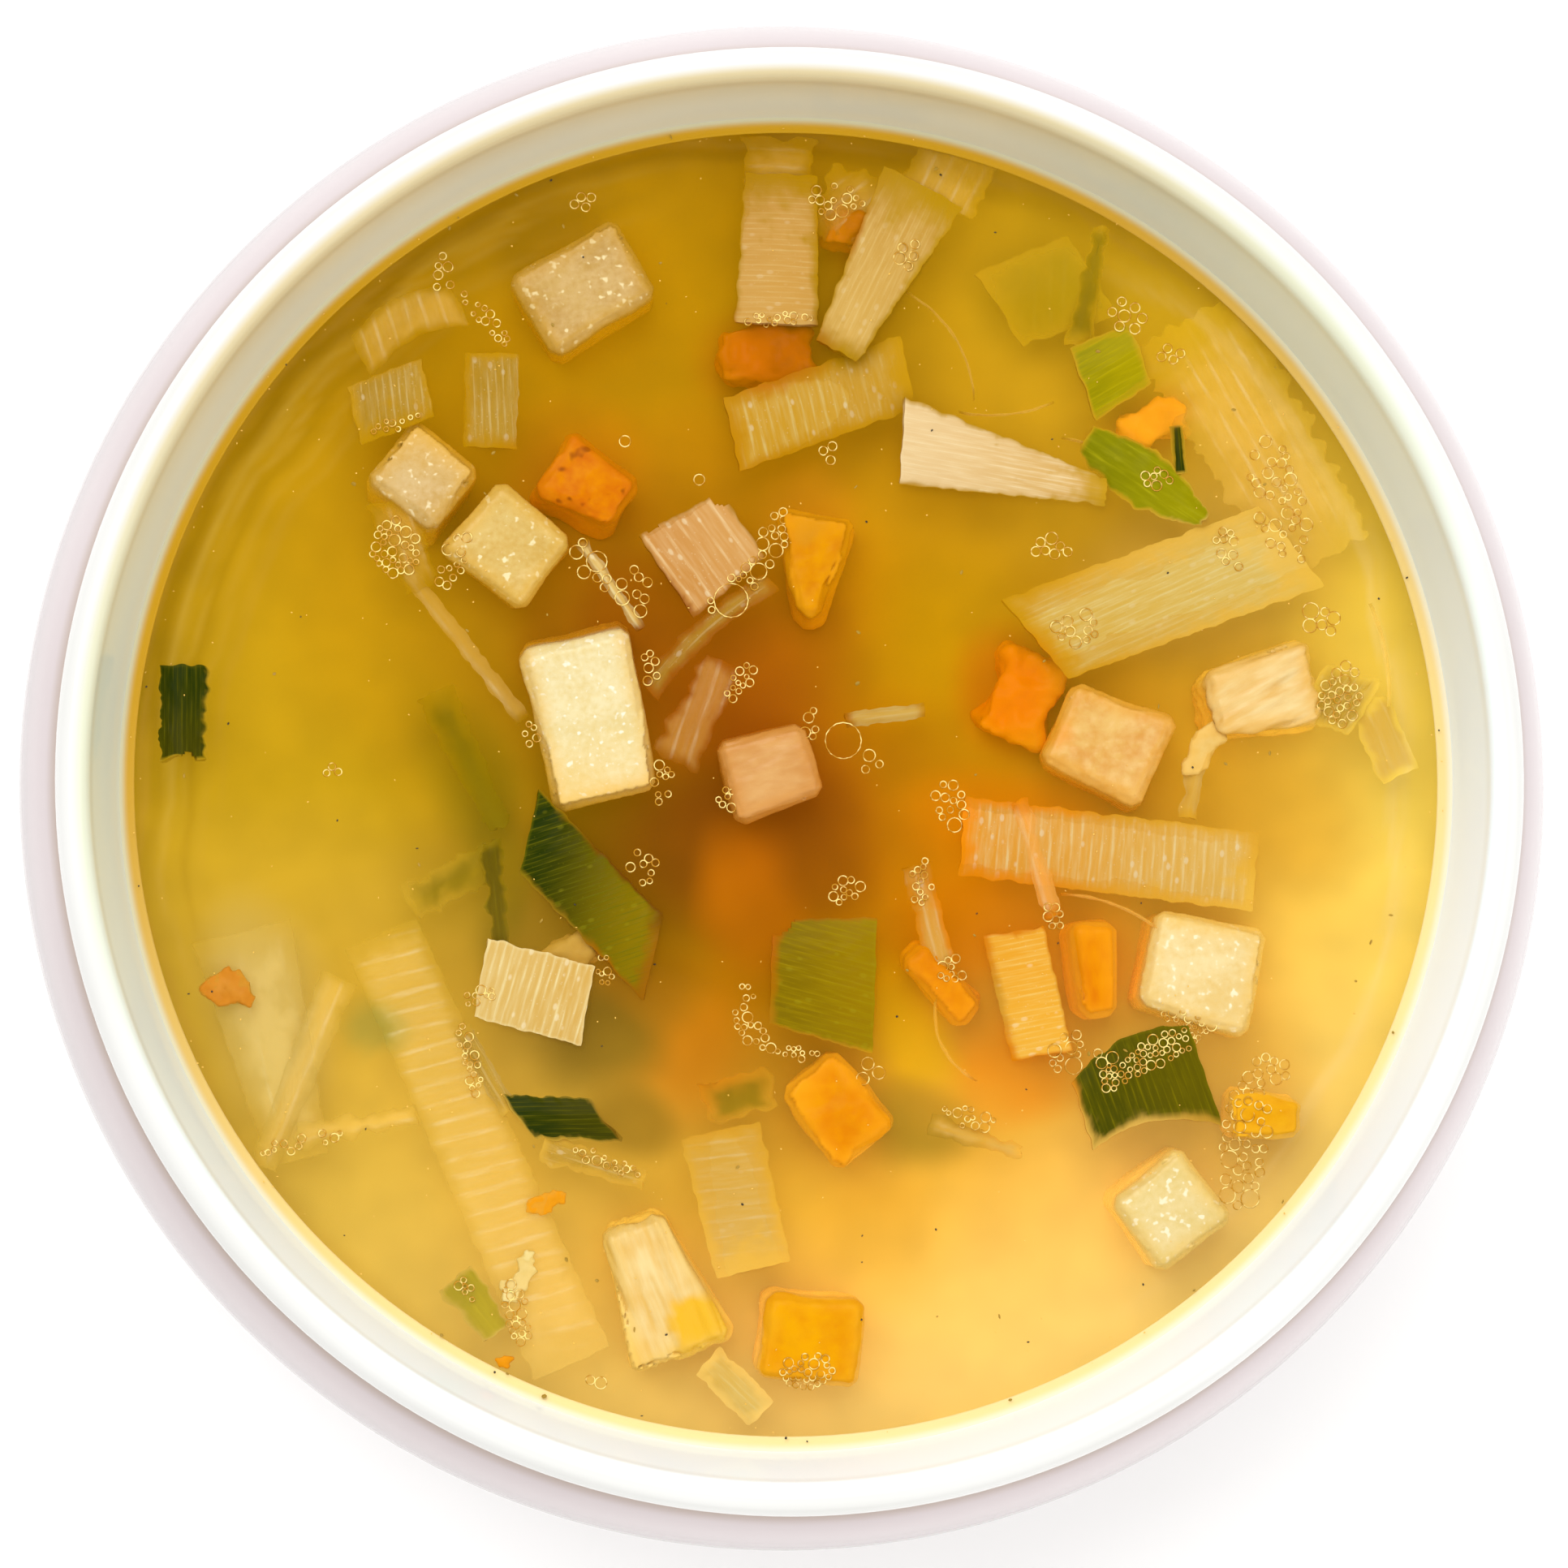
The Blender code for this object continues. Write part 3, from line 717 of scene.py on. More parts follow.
dice = {
    # node: pale and dark flesh, steeped colour, grain in mm, fibre direction and stretch, stain
    "potato_1": dict(pale="d2ac62", dark="c09440", deep="c08e14", grain=0.5, speck="f2dca0"),
    "potato_2": dict(pale="dab878", dark="cca252", deep="cc9a24", grain=0.5, speck="f6e2b0"),
    "potato_3": dict(pale="e4c474", dark="d6ac50", deep="cf9d26", grain=0.5, speck="faeab4"),
    "potato_4": dict(pale="f6e6b2", dark="ebd28c", deep="d8a62a", grain=0.5, speck="fff8dc",
        stain=((-22.9, 7.2), 0.5, "f0a020")),
    "potato_5": dict(pale="e4ae68", dark="d4944a", deep="c07818", grain=0.8, fibre=16, stretch=2.5),
    "potato_6": dict(pale="f6dea0", dark="ecc878", deep="e0b040", grain=0.7, speck="fff2c8"),
    "potato_7": dict(pale="ecbe6a", dark="dc9a38", deep="dc9a28", grain=1.0,
        stain=((25.6, 4.6), 1.6, "eda040")),
    "potato_8": dict(pale="f4dc9c", dark="e8cc7c", deep="dcb040", grain=0.6, speck="fff4cc"),
    "chicken_1": dict(pale="f8dc98", dark="ecbc5c", deep="dcb044", grain=0.8, fibre=-68, stretch=7.0,
        stain=((-8.2, -51.4), 3.4, "f8bd1c")),
    "chicken_2": dict(pale="f6d894", dark="e8b458", deep="dca63c", grain=0.8, fibre=28, stretch=6.0),
    "carrot_1": dict(pale="e88c00", dark="d66c00", deep="c87008", grain=1.1, speck="7a3000",
        speckSize=1.6),
    "carrot_2": dict(pale="e89a00", dark="d88200", deep="cf8a0e", grain=1.2,
        stain=((2.2, 24.6), 2.0, "d99014")),
    "carrot_3": dict(pale="f4aa00", dark="ea9600", deep="e2a01c", grain=1.4),
    "carrot_4": dict(pale="f09a04", dark="e68600", deep="e69a18", grain=1.4),
    "carrot_5": dict(pale="ee9404", dark="e07e00", deep="e08c12", grain=1.0),
    "carrot_6": dict(pale="f09400", dark="e27c00", deep="e49414", grain=1.0, fibre=-85, stretch=3.0),
    "carrot_7": dict(pale="f4b010", dark="ea9c00", deep="e6aa24", grain=1.0),
}
reliefs = {
    # kind: voxel, layers of relief as cell size and height, in mm
    "potato": (0.26, ((5.0, 0.3), (0.9, 0.06), (0.45, 0.04))),
    "chicken": (0.28, ((3.0, 0.6), (0.9, 0.3), (0.5, 0.12))),
    "carrot": (0.28, ((4.0, 0.5), (1.2, 0.1))),
}


def makeDice():
    made = []
    for seed, (node, looks) in enumerate(dice.items()):
        kind = node.split("_")[0]
        voxel, layers = reliefs[kind]
        piece = fineCopy(node, node + "_cut", voxel)
        roughen(piece, layers, seed + 1, looks.get("fibre", 0.0), looks.get("stretch", 1.0))
        markInset(piece)
        markDepth(piece)
        steepPiece(piece)
        gloss = 0.05 if kind == "carrot" else 0.35
        piece.data.materials.append(makeFlesh(node + "Flesh", gloss=gloss, **looks))
        piece.data.shade_smooth()
        made.append(finishPiece(piece, kind, node))
    return made


dicePieces = makeDice()
print("dice:", sum(len(piece.data.polygons) for piece in dicePieces), "faces")

# ---- leek: strips and squares of leaf, veined along their fibre


# Raises the veins of a leaf and a scatter of blisters between them. The leaf carries its distances
# along and across the fibre, in millimetres, in the attribute fibre.
def makeVeinTree():
    inputs = {"Spacing": 1.0, "Height": 0.1, "Wander": 0.5, "Waviness": 0.3, "Seed": 0, "Material": None}
    tree, given = newGeometryTree("leafVeins", inputs)
    fibre = addNode(tree, "GeometryNodeInputNamedAttribute", {"Name": "fibre"}, data_type="FLOAT_VECTOR")
    parts = addNode(tree, "ShaderNodeSeparateXYZ", {0: fibre.outputs[0]}).outputs
    flat = combined(tree, parts["X"], parts["Y"], 0.0)
    drawn = addNode(
        tree, "ShaderNodeVectorMath", {0: flat, 1: (0.12, 1.0, 1.0)}, operation="MULTIPLY"
    ).outputs[0]
    inputs = {"Vector": drawn, "Scale": 0.7, "W": given["Seed"]}
    wander = addNode(tree, "ShaderNodeTexNoise", inputs, noise_dimensions="4D").outputs[0]
    shift = reckon(tree, "MULTIPLY_ADD", wander, given["Wander"], parts["Y"])
    turns = reckon(tree, "DIVIDE", shift, given["Spacing"])
    wave = reckon(tree, "COSINE", reckon(tree, "MULTIPLY", turns, math.tau))
    ridge = reckon(tree, "MULTIPLY", reckon(tree, "MAXIMUM", wave, 0.0), given["Height"])
    swell = addNode(
        tree, "ShaderNodeTexNoise", {"Scale": 190.0, "W": given["Seed"]}, noise_dimensions="4D"
    ).outputs[0]
    wavy = reckon(tree, "MULTIPLY_ADD", reckon(tree, "SUBTRACT", swell, 0.5), given["Waviness"], ridge)
    lift = combined(tree, 0.0, 0.0, reckon(tree, "MULTIPLY", wavy, mm))
    moved = addNode(tree, "GeometryNodeSetPosition", {0: given["Geometry"], "Offset": lift})
    endTree(tree, moved.outputs[0], given["Material"])
    return tree


veinTree = makeVeinTree()
leafCell = 0.3  # mm between the points of a leaf


# A leaf lying flat on the origin: its outline tapers to far, is slanted, cupped, bowed and swollen,
# and its cut edges waver. bites are round notches, as place along and across from -1 to 1, and size.
def leafSheet(name, size, seed, far=1.0, slant=0, cup=0.5, bow=0.0, swell=0.0, rag=0.25, bites=(),
              ribAngle=0.0):
    length, width, thickness = size
    along = max(4, round(length / leafCell))
    across = max(4, round((width + swell) / leafCell))
    points, fibres, leaves = [], [], []
    cosine, sine = math.cos(math.radians(ribAngle)), math.sin(math.radians(ribAngle))
    for i in range(along + 1):
        u = i / along * 2 - 1
        half = width / 2 * (1 + (far - 1) * i / along) + swell / 2 * (1 - u * u)
        sides = [rag * noise.noise(Vector((u * length * 0.35, side * 9.1, seed))) for side in (-1, 1)]
        sides = [side + 0.4 * rag * noise.noise(Vector((u * length, side, seed + 5))) for side in sides]
        for j in range(across + 1):
            v = j / across * 2 - 1
            end = Vector((v * width * 0.4, 3.3 + (u > 0) * 9, seed + 2))
            ends = rag * 0.8 * noise.noise(end) * u ** 8
            y = v * (half + sides[int(v > 0)])
            x = u * length / 2 + v * half * math.tan(math.radians(slant)) + ends
            z = -cup * v * v
            points.append((x, y + bow * (1 - u * u), z))
            fibres.append((x * cosine + y * sine, y * cosine - x * sine, 0.0))
            leaves.append((u, v, min((1 - abs(u)) * length / 2, (1 - abs(v)) * half)))
    faces = []
    for i in range(along):
        for j in range(across):
            at = i * (across + 1) + j
            u, v = leaves[at][:2]
            gaps = [math.hypot((u - bu) * length / 2, (v - bv) * width / 2) - r for bu, bv, r in bites]
            if all(gap >= 0 for gap in gaps):
                faces.append((at, at + across + 1, at + across + 2, at + 1))
    mesh = bpy.data.meshes.new(name)
    mesh.from_pydata([Vector(point) * mm for point in points], [], faces)
    for label, values in (("fibre", fibres), ("leaf", leaves)):
        keep(mesh, label, [part for value in values for part in value], "FLOAT_VECTOR", "vector")
    shell = bmesh.new()
    shell.from_mesh(mesh)
    bmesh.ops.delete(shell, geom=[v for v in shell.verts if not v.link_faces], context="VERTS")
    shell.to_mesh(mesh)
    shell.free()
    return mesh


# Leek leaf, boiled soft and wet: flesh from one end to the other, paler veins, light dots that are partly
# air bubbles and partly painted glints, and a light cut edge. Faint sheets are leaves that float under the
# surface.
def makeLeafFinish(name, near, far, vein, alpha=1.0, spacing=1.0, veinWidth=0.3, bubbleGlintDots=0.5, edge=0.3,
                   streak=0.3, dot="f8e9bf"):
    material, tree, shader = newMaterial(
        name, Roughness=0.25, IOR=1.38, Alpha=alpha, Specular_IOR_Level=0.05
    )
    # Faint sheets under the surface are mixed brighter: painted light that makes up for the light the skin
    # takes from them and the shade they cast.
    near, far, vein = (asColour(tone, levelLight if alpha > 0.5 else 0.92) for tone in (near, far, vein))
    fibre = stored(tree, "fibre", "Vector")
    leaf = stored(tree, "leaf", "Vector")
    leafParts = addNode(tree, "ShaderNodeSeparateXYZ", {0: leaf}).outputs
    drawn = scaled(tree, fibre, (0.12, 1.0, 1.0))
    fibreParts = addNode(tree, "ShaderNodeSeparateXYZ", {0: fibre}).outputs
    wander = noiseAt(tree, drawn, 0.7)
    shift = reckon(tree, "MULTIPLY_ADD", wander, 0.5 * spacing, fibreParts["Y"])
    wave = reckon(tree, "COSINE", reckon(tree, "MULTIPLY", shift, math.tau / spacing))
    lines = smoothBand(tree, wave, 1.0 - 2.2 * veinWidth, 1.0)
    broken = noiseAt(tree, drawn, 2.2, 3.0)
    seen = reckon(tree, "MULTIPLY", lines, smoothBand(tree, broken, 0.25, 0.9))
    flesh = mixColours(tree, smoothBand(tree, leafParts["X"], -0.9, 0.9), near, far)
    dapple = reckon(tree, "MULTIPLY", smoothBand(tree, broken, 0.35, 0.75), streak)
    flesh = mixColours(tree, dapple, flesh, vein)
    if alpha < 0.5:
        flesh = mixColours(tree, 0.5, flesh, stockAround(tree, 1.2))
    veined = mixColours(tree, seen, flesh, vein)
    if alpha < 0.5:
        return finishLeaf(material, tree, shader, veined, seen, 0.9)
    cells = addNode(
        tree, "ShaderNodeTexVoronoi", {"Vector": scaled(tree, fibre, (0.6, 1.0, 1.0)), "Scale": 0.9}
    ).outputs["Distance"]
    fine = addNode(tree, "ShaderNodeTexVoronoi", {"Vector": fibre, "Scale": 2.1}).outputs["Distance"]
    fineDots, largeDots = smoothBand(tree, fine, 0.2, 0.06), smoothBand(tree, cells, 0.24, 0.12)
    dots = reckon(tree, "MULTIPLY_ADD", fineDots, 0.55, largeDots)
    # Light dots: partly air bubbles on the leaf, partly painted glints.
    dotted = mixColours(tree, reckon(tree, "MULTIPLY", dots, bubbleGlintDots), veined, asSeen(dot))
    rim = smoothBand(tree, leafParts["Z"], 0.34, 0.05)
    finished = mixColours(tree, reckon(tree, "MULTIPLY", rim, edge), dotted, vein)
    return finishLeaf(material, tree, shader, finished, seen, 0.58 if alpha == 1.0 else 0.9)


# Fades the colour into the stock at the leaf's edges, and raises the veins.
def finishLeaf(material, tree, shader, tone, veins, gain):
    fade = stored(tree, "fade")
    tree.links.new(mixColours(tree, fade, tone, stockAround(tree, gain)), shader.inputs["Base Color"])
    raiseSurface(tree, shader, veins, 0.3, 0.06 * mm)
    return material


leafLooks = {
    # blanched white of the stalk, out of the liquid
    "creamRibbed": dict(near="dcb564", far="d8ac56", vein="f2e0a4", spacing=0.78, veinWidth=0.3),
    "peachFine": dict(near="c89646", far="ce9c4a", vein="dab26a", spacing=0.5, veinWidth=0.3,
        bubbleGlintDots=0.15),
    "pearlLong": dict(near="e6c48c", far="d8ac60", vein="f2d8a4", spacing=0.42, veinWidth=0.3,
        bubbleGlintDots=0.05, streak=0.5),
    "rosyRibbed": dict(near="cc9048", far="d49c54", vein="ecc890", spacing=1.7, veinWidth=0.1,
        bubbleGlintDots=0.4),
    "apricotFine": dict(near="eaa42c", far="eeae36", vein="f2c666", spacing=0.5, veinWidth=0.3,
        bubbleGlintDots=0.3),
    "strawFine": dict(near="c89a44", far="d4a954", vein="deb96c", spacing=0.5, veinWidth=0.3, bubbleGlintDots=0.15,
        streak=0.5),
    # just under the surface, tinted by the stock
    "goldRibbed": dict(near="dca62c", far="deac3c", vein="ecd080", alpha=0.74, spacing=1.05,
        veinWidth=0.22),
    "goldLong": dict(near="e4ba50", far="eac764", vein="f0d88c", alpha=0.76, spacing=0.5, bubbleGlintDots=0.2,
        streak=0.5),
    "amberRibbed": dict(near="f0a83a", far="ecbc58", vein="f8de9c", alpha=0.72, spacing=0.98,
        veinWidth=0.22),
    "paleGold": dict(near="e8b648", far="ecbe58", vein="f2d084", alpha=0.66, spacing=1.5, veinWidth=0.15,
        bubbleGlintDots=0.1),
    "clearRibbed": dict(near="c29628", far="cea236", vein="ecd490", alpha=0.55, spacing=0.7, veinWidth=0.2,
        bubbleGlintDots=0.6),
    # green of the leaf
    "brightGreen": dict(near="988c00", far="a89800", vein="b6a400", spacing=0.5, bubbleGlintDots=0.08, streak=0.6,
        dot="b4ac20"),
    "midribGreen": dict(near="828000", far="989000", vein="b4ac10", spacing=2.6, veinWidth=0.06,
        bubbleGlintDots=0.15, dot="b4ac20"),
    "deepToStraw": dict(near="243200", far="8c7400", vein="6c6800", spacing=0.42, veinWidth=0.2,
        bubbleGlintDots=0.15, edge=0.4, streak=0.25, dot="b4ac20"),
    "darkGreen": dict(near="263200", far="403e00", vein="605c00", spacing=0.42, veinWidth=0.2, bubbleGlintDots=0.0,
        edge=0.3, streak=0.3),
    "oliveGreen": dict(near="806800", far="987800", vein="a08600", spacing=0.5, veinWidth=0.2,
        bubbleGlintDots=0.15, edge=0.4, streak=0.5, dot="b4ac20"),
    "darkOlive": dict(near="464600", far="605600", vein="7c7000", spacing=0.7, veinWidth=0.15,
        bubbleGlintDots=0.05, edge=0.3, dot="b4ac20"),
    # sunk further down
    "drownedGreen": dict(near="746800", far="867600", vein="8e7e08", alpha=0.55, spacing=1.2, bubbleGlintDots=0.0,
        edge=0.0),
    "drownedYellow": dict(near="c09c08", far="c6a60c", vein="ccac24", alpha=0.55, spacing=1.4, bubbleGlintDots=0.0,
        edge=0.0),
    "ribbedVeil": dict(near="e8ca74", far="ecce78", vein="fff2bc", alpha=0.26, spacing=1.8, veinWidth=0.25,
        bubbleGlintDots=0.3, edge=0.0),
    "greyVeil": dict(near="e8d898", far="ecd88c", vein="f2e2a0", alpha=0.34, spacing=4.0, veinWidth=0.1,
        bubbleGlintDots=0.0, edge=0.0),
    "paleThread": dict(near="f0c860", far="f4d06c", vein="fae08c", alpha=0.4),
    "clearVeil": dict(near="e6bc5c", far="eac468", vein="fbe8b0", alpha=0.3, spacing=1.6, veinWidth=0.2,
        bubbleGlintDots=0.4, edge=0.2),
}
leafMaterials = {name: makeLeafFinish(name, **looks) for name, looks in leafLooks.items()}


def leafPlace(piece):
    tilt = Euler((0.0, math.radians(piece.get("tip", 0)), 0.0))
    turn = Matrix.Rotation(math.radians(piece["turn"]), 4, "Z")
    return turn @ tilt.to_matrix().to_4x4()


# How far a leaf has faded into the stock at each point: fades are the widths in mm over which its
# first end, last end, right and left side do so. Zero leaves that edge sharp.
def markFade(made, piece, fades):
    count = len(made.data.vertices)
    leaf = np.empty(count * 3, np.float32)
    made.data.attributes["leaf"].data.foreach_get("vector", leaf)
    u, v = leaf.reshape(-1, 3)[:, 0], leaf.reshape(-1, 3)[:, 1]
    length, width = piece["size"][:2]
    gaps = ((1 + u) * length / 2, (1 - u) * length / 2, (1 + v) * width / 2, (1 - v) * width / 2)
    spots = [vertex.co / mm for vertex in made.data.vertices]
    ragged = np.array([noise.noise(spot / 1.7) + 0.6 * noise.noise(spot / 0.6) for spot in spots])
    amount = np.zeros(count)
    for gap, reach in zip(gaps, fades):
        if reach:
            part = np.clip(1 - gap / reach * (1 + 0.7 * ragged), 0, 1)
            amount = np.maximum(amount, part * part * (3 - 2 * part))
    keep(made.data, "fade", amount)


def makeLeaf(name, piece, middle=None, top=None):
    shape = {key: value for key, value in piece.items() if key in (
        "size", "far", "slant", "cup", "bow", "swell", "rag", "bites", "ribAngle")}
    seed = sum(ord(letter) for letter in name)
    live = link(bpy.data.objects.new(name + "Sheet", leafSheet(name, seed=seed, **shape)))
    wall = live.modifiers.new("thickness", "SOLIDIFY")
    wall.thickness = piece["size"][2] * mm
    wall.offset = -1.0
    values = {
        "Spacing": leafLooks[piece["look"]].get("spacing", 1.0), "Height": piece.get("relief", 0.03),
        "Wander": 0.5, "Waviness": piece.get("wavy", 0.35), "Seed": seed,
        "Material": leafMaterials[piece["look"]],
    }
    made = runTree(live, veinTree, name, values)
    made.data.transform(leafPlace(piece))
    places = np.array([vertex.co for vertex in made.data.vertices])
    low, high = places.min(0), places.max(0)
    if middle is None:
        middle = Vector(piece["at"]) * mm
        top = (brothLevel - piece["under"]) * mm
    shift = (middle.x - (low[0] + high[0]) / 2, middle.y - (low[1] + high[1]) / 2, top - high[2])
    made.data.transform(Matrix.Translation(shift))
    steepPiece(made)
    sides = 0.9 if piece["size"][1] > 2.0 else 0.0
    markFade(made, piece, piece.get("fades", (1.2, 1.2, sides, sides)))
    made.data.shade_smooth()
    made.data.set_sharp_from_angle(angle=math.radians(55))
    return made


# Each floating leaf lies where its CAD solid lies: turn is the direction of its length from +X.
leaves = {
    "leek_white_1": dict(turn=22, size=(7.4, 5.6, 0.6), slant=8, ribAngle=75, look="clearRibbed",
        fades=(1.6, 0.6, 2.6, 0.5)),
    "leek_white_2": dict(turn=-91, size=(9.0, 5.0, 0.6), ribAngle=4, look="clearRibbed", relief=0.05,
        fades=(1.2, 1.8, 1.2, 0.0)),
    "leek_white_3": dict(turn=-92, size=(14.2, 6.8, 1.2), far=1.16, tip=-2, ribAngle=90, look="peachFine",
        relief=0.04, fades=(5.0, 0.0, 0.4, 0.8)),
    "leek_white_4": dict(turn=-118, size=(18.0, 8.4, 1.0), far=0.52, tip=-5, ribAngle=2, look="strawFine",
        cup=0.6, fades=(6.0, 3.0, 0.7, 0.9)),
    "leek_white_5": dict(turn=20, size=(17.8, 7.0, 0.7), slant=8, tip=3, ribAngle=84, look="goldRibbed",
        fades=(2.4, 3.6, 1.5, 2.0)),
    "leek_white_6": dict(turn=-14, size=(19.8, 8.2, 1.1), far=0.3, slant=-10, ribAngle=4, look="pearlLong",
        relief=0.02, fades=(0.0, 5.0, 0.5, 0.6)),
    "leek_white_7": dict(turn=20, size=(26.0, 9.2, 0.7), slant=-20, cup=0.7, ribAngle=4, look="goldLong",
        wavy=0.6, fades=(3.6, 6.0, 1.0, 2.4)),
    "leek_white_8": dict(turn=34, size=(8.8, 9.4, 0.8), far=0.8, ribAngle=-88, look="rosyRibbed",
        bites=((-0.7, 1.25, 1.6), (1.0, 0.9, 1.5)), fades=(0.4, 0.4, 0.5, 0.3)),
    "leek_white_9": dict(turn=-15, size=(10.3, 7.5, 1.8), slant=-5, cup=0.3, ribAngle=89,
        look="creamRibbed", relief=0.05, fades=(0.0, 0.0, 0.0, 0.0)),
    "leek_white_10": dict(turn=-77, size=(13.4, 7.6, 0.7), far=0.94, tip=-1, ribAngle=84, look="paleGold",
        fades=(1.8, 3.4, 1.0, 1.2)),
    "leek_white_11": dict(turn=-77, size=(12.0, 5.8, 1.2), slant=4, cup=0.3, ribAngle=88,
        look="apricotFine", relief=0.05, fades=(0.4, 0.3, 1.0, 0.2)),
    "leek_white_12": dict(turn=-7, size=(28.0, 7.4, 0.7), slant=-3, cup=0.6, ribAngle=92,
        look="amberRibbed", wavy=0.5, fades=(2.4, 2.8, 1.4, 0.9)),
    "leek_green_1": dict(turn=28, size=(6.2, 7.2, 0.7), far=0.84, slant=8, ribAngle=2, look="brightGreen",
        fades=(0.3, 0.5, 0.3, 0.3)),
    "leek_green_2": dict(turn=-35, size=(13.6, 2.6, 0.6), far=0.5, swell=3.4, ribAngle=2,
        look="midribGreen", relief=0.05, rag=0.5, fades=(0.5, 0.3, 0.2, 0.2)),
    "leek_green_3": dict(turn=-46, size=(16.6, 6.8, 0.8), slant=-33, ribAngle=64, look="deepToStraw",
        relief=0.04, fades=(0.0, 1.8, 0.5, 0.3)),
    "leek_green_4": dict(turn=-3, size=(8.2, 3.9, 0.7), slant=-40, ribAngle=4, look="darkGreen", rag=0.4,
        fades=(0.3, 0.3, 0.3, 0.0)),
    "leek_green_5": dict(turn=-8, size=(9.8, 9.8, 0.7), far=1.3, slant=-6, ribAngle=-7, look="oliveGreen",
        bites=((-1.0, 1.05, 1.9),), fades=(1.0, 0.0, 0.3, 0.3)),
    "leek_green_6": dict(turn=18, size=(12.2, 6.6, 0.7), far=1.5, bow=1.6, cup=0.2, ribAngle=-88,
        look="darkOlive", rag=0.3, fades=(0.6, 0.0, 0.8, 0.0)),
    "leek_green_7": dict(turn=-90, size=(8.6, 4.4, 0.8), look="darkGreen", rag=0.7,
        bites=((1.05, 0.2, 0.9),), fades=(0.0, 0.3, 0.0, 0.3)),
}


def makeFloatingLeaves():
    made = []
    for node, piece in leaves.items():
        low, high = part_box(node)
        leaf = makeLeaf(node + "_leaf", piece, (low + high) / 2, high.z)
        made.append(finishPiece(leaf, node.rsplit("_", 1)[0], node))
    return made


leafPieces = makeFloatingLeaves()
print("floating leaves:", sum(len(piece.data.polygons) for piece in leafPieces), "faces")

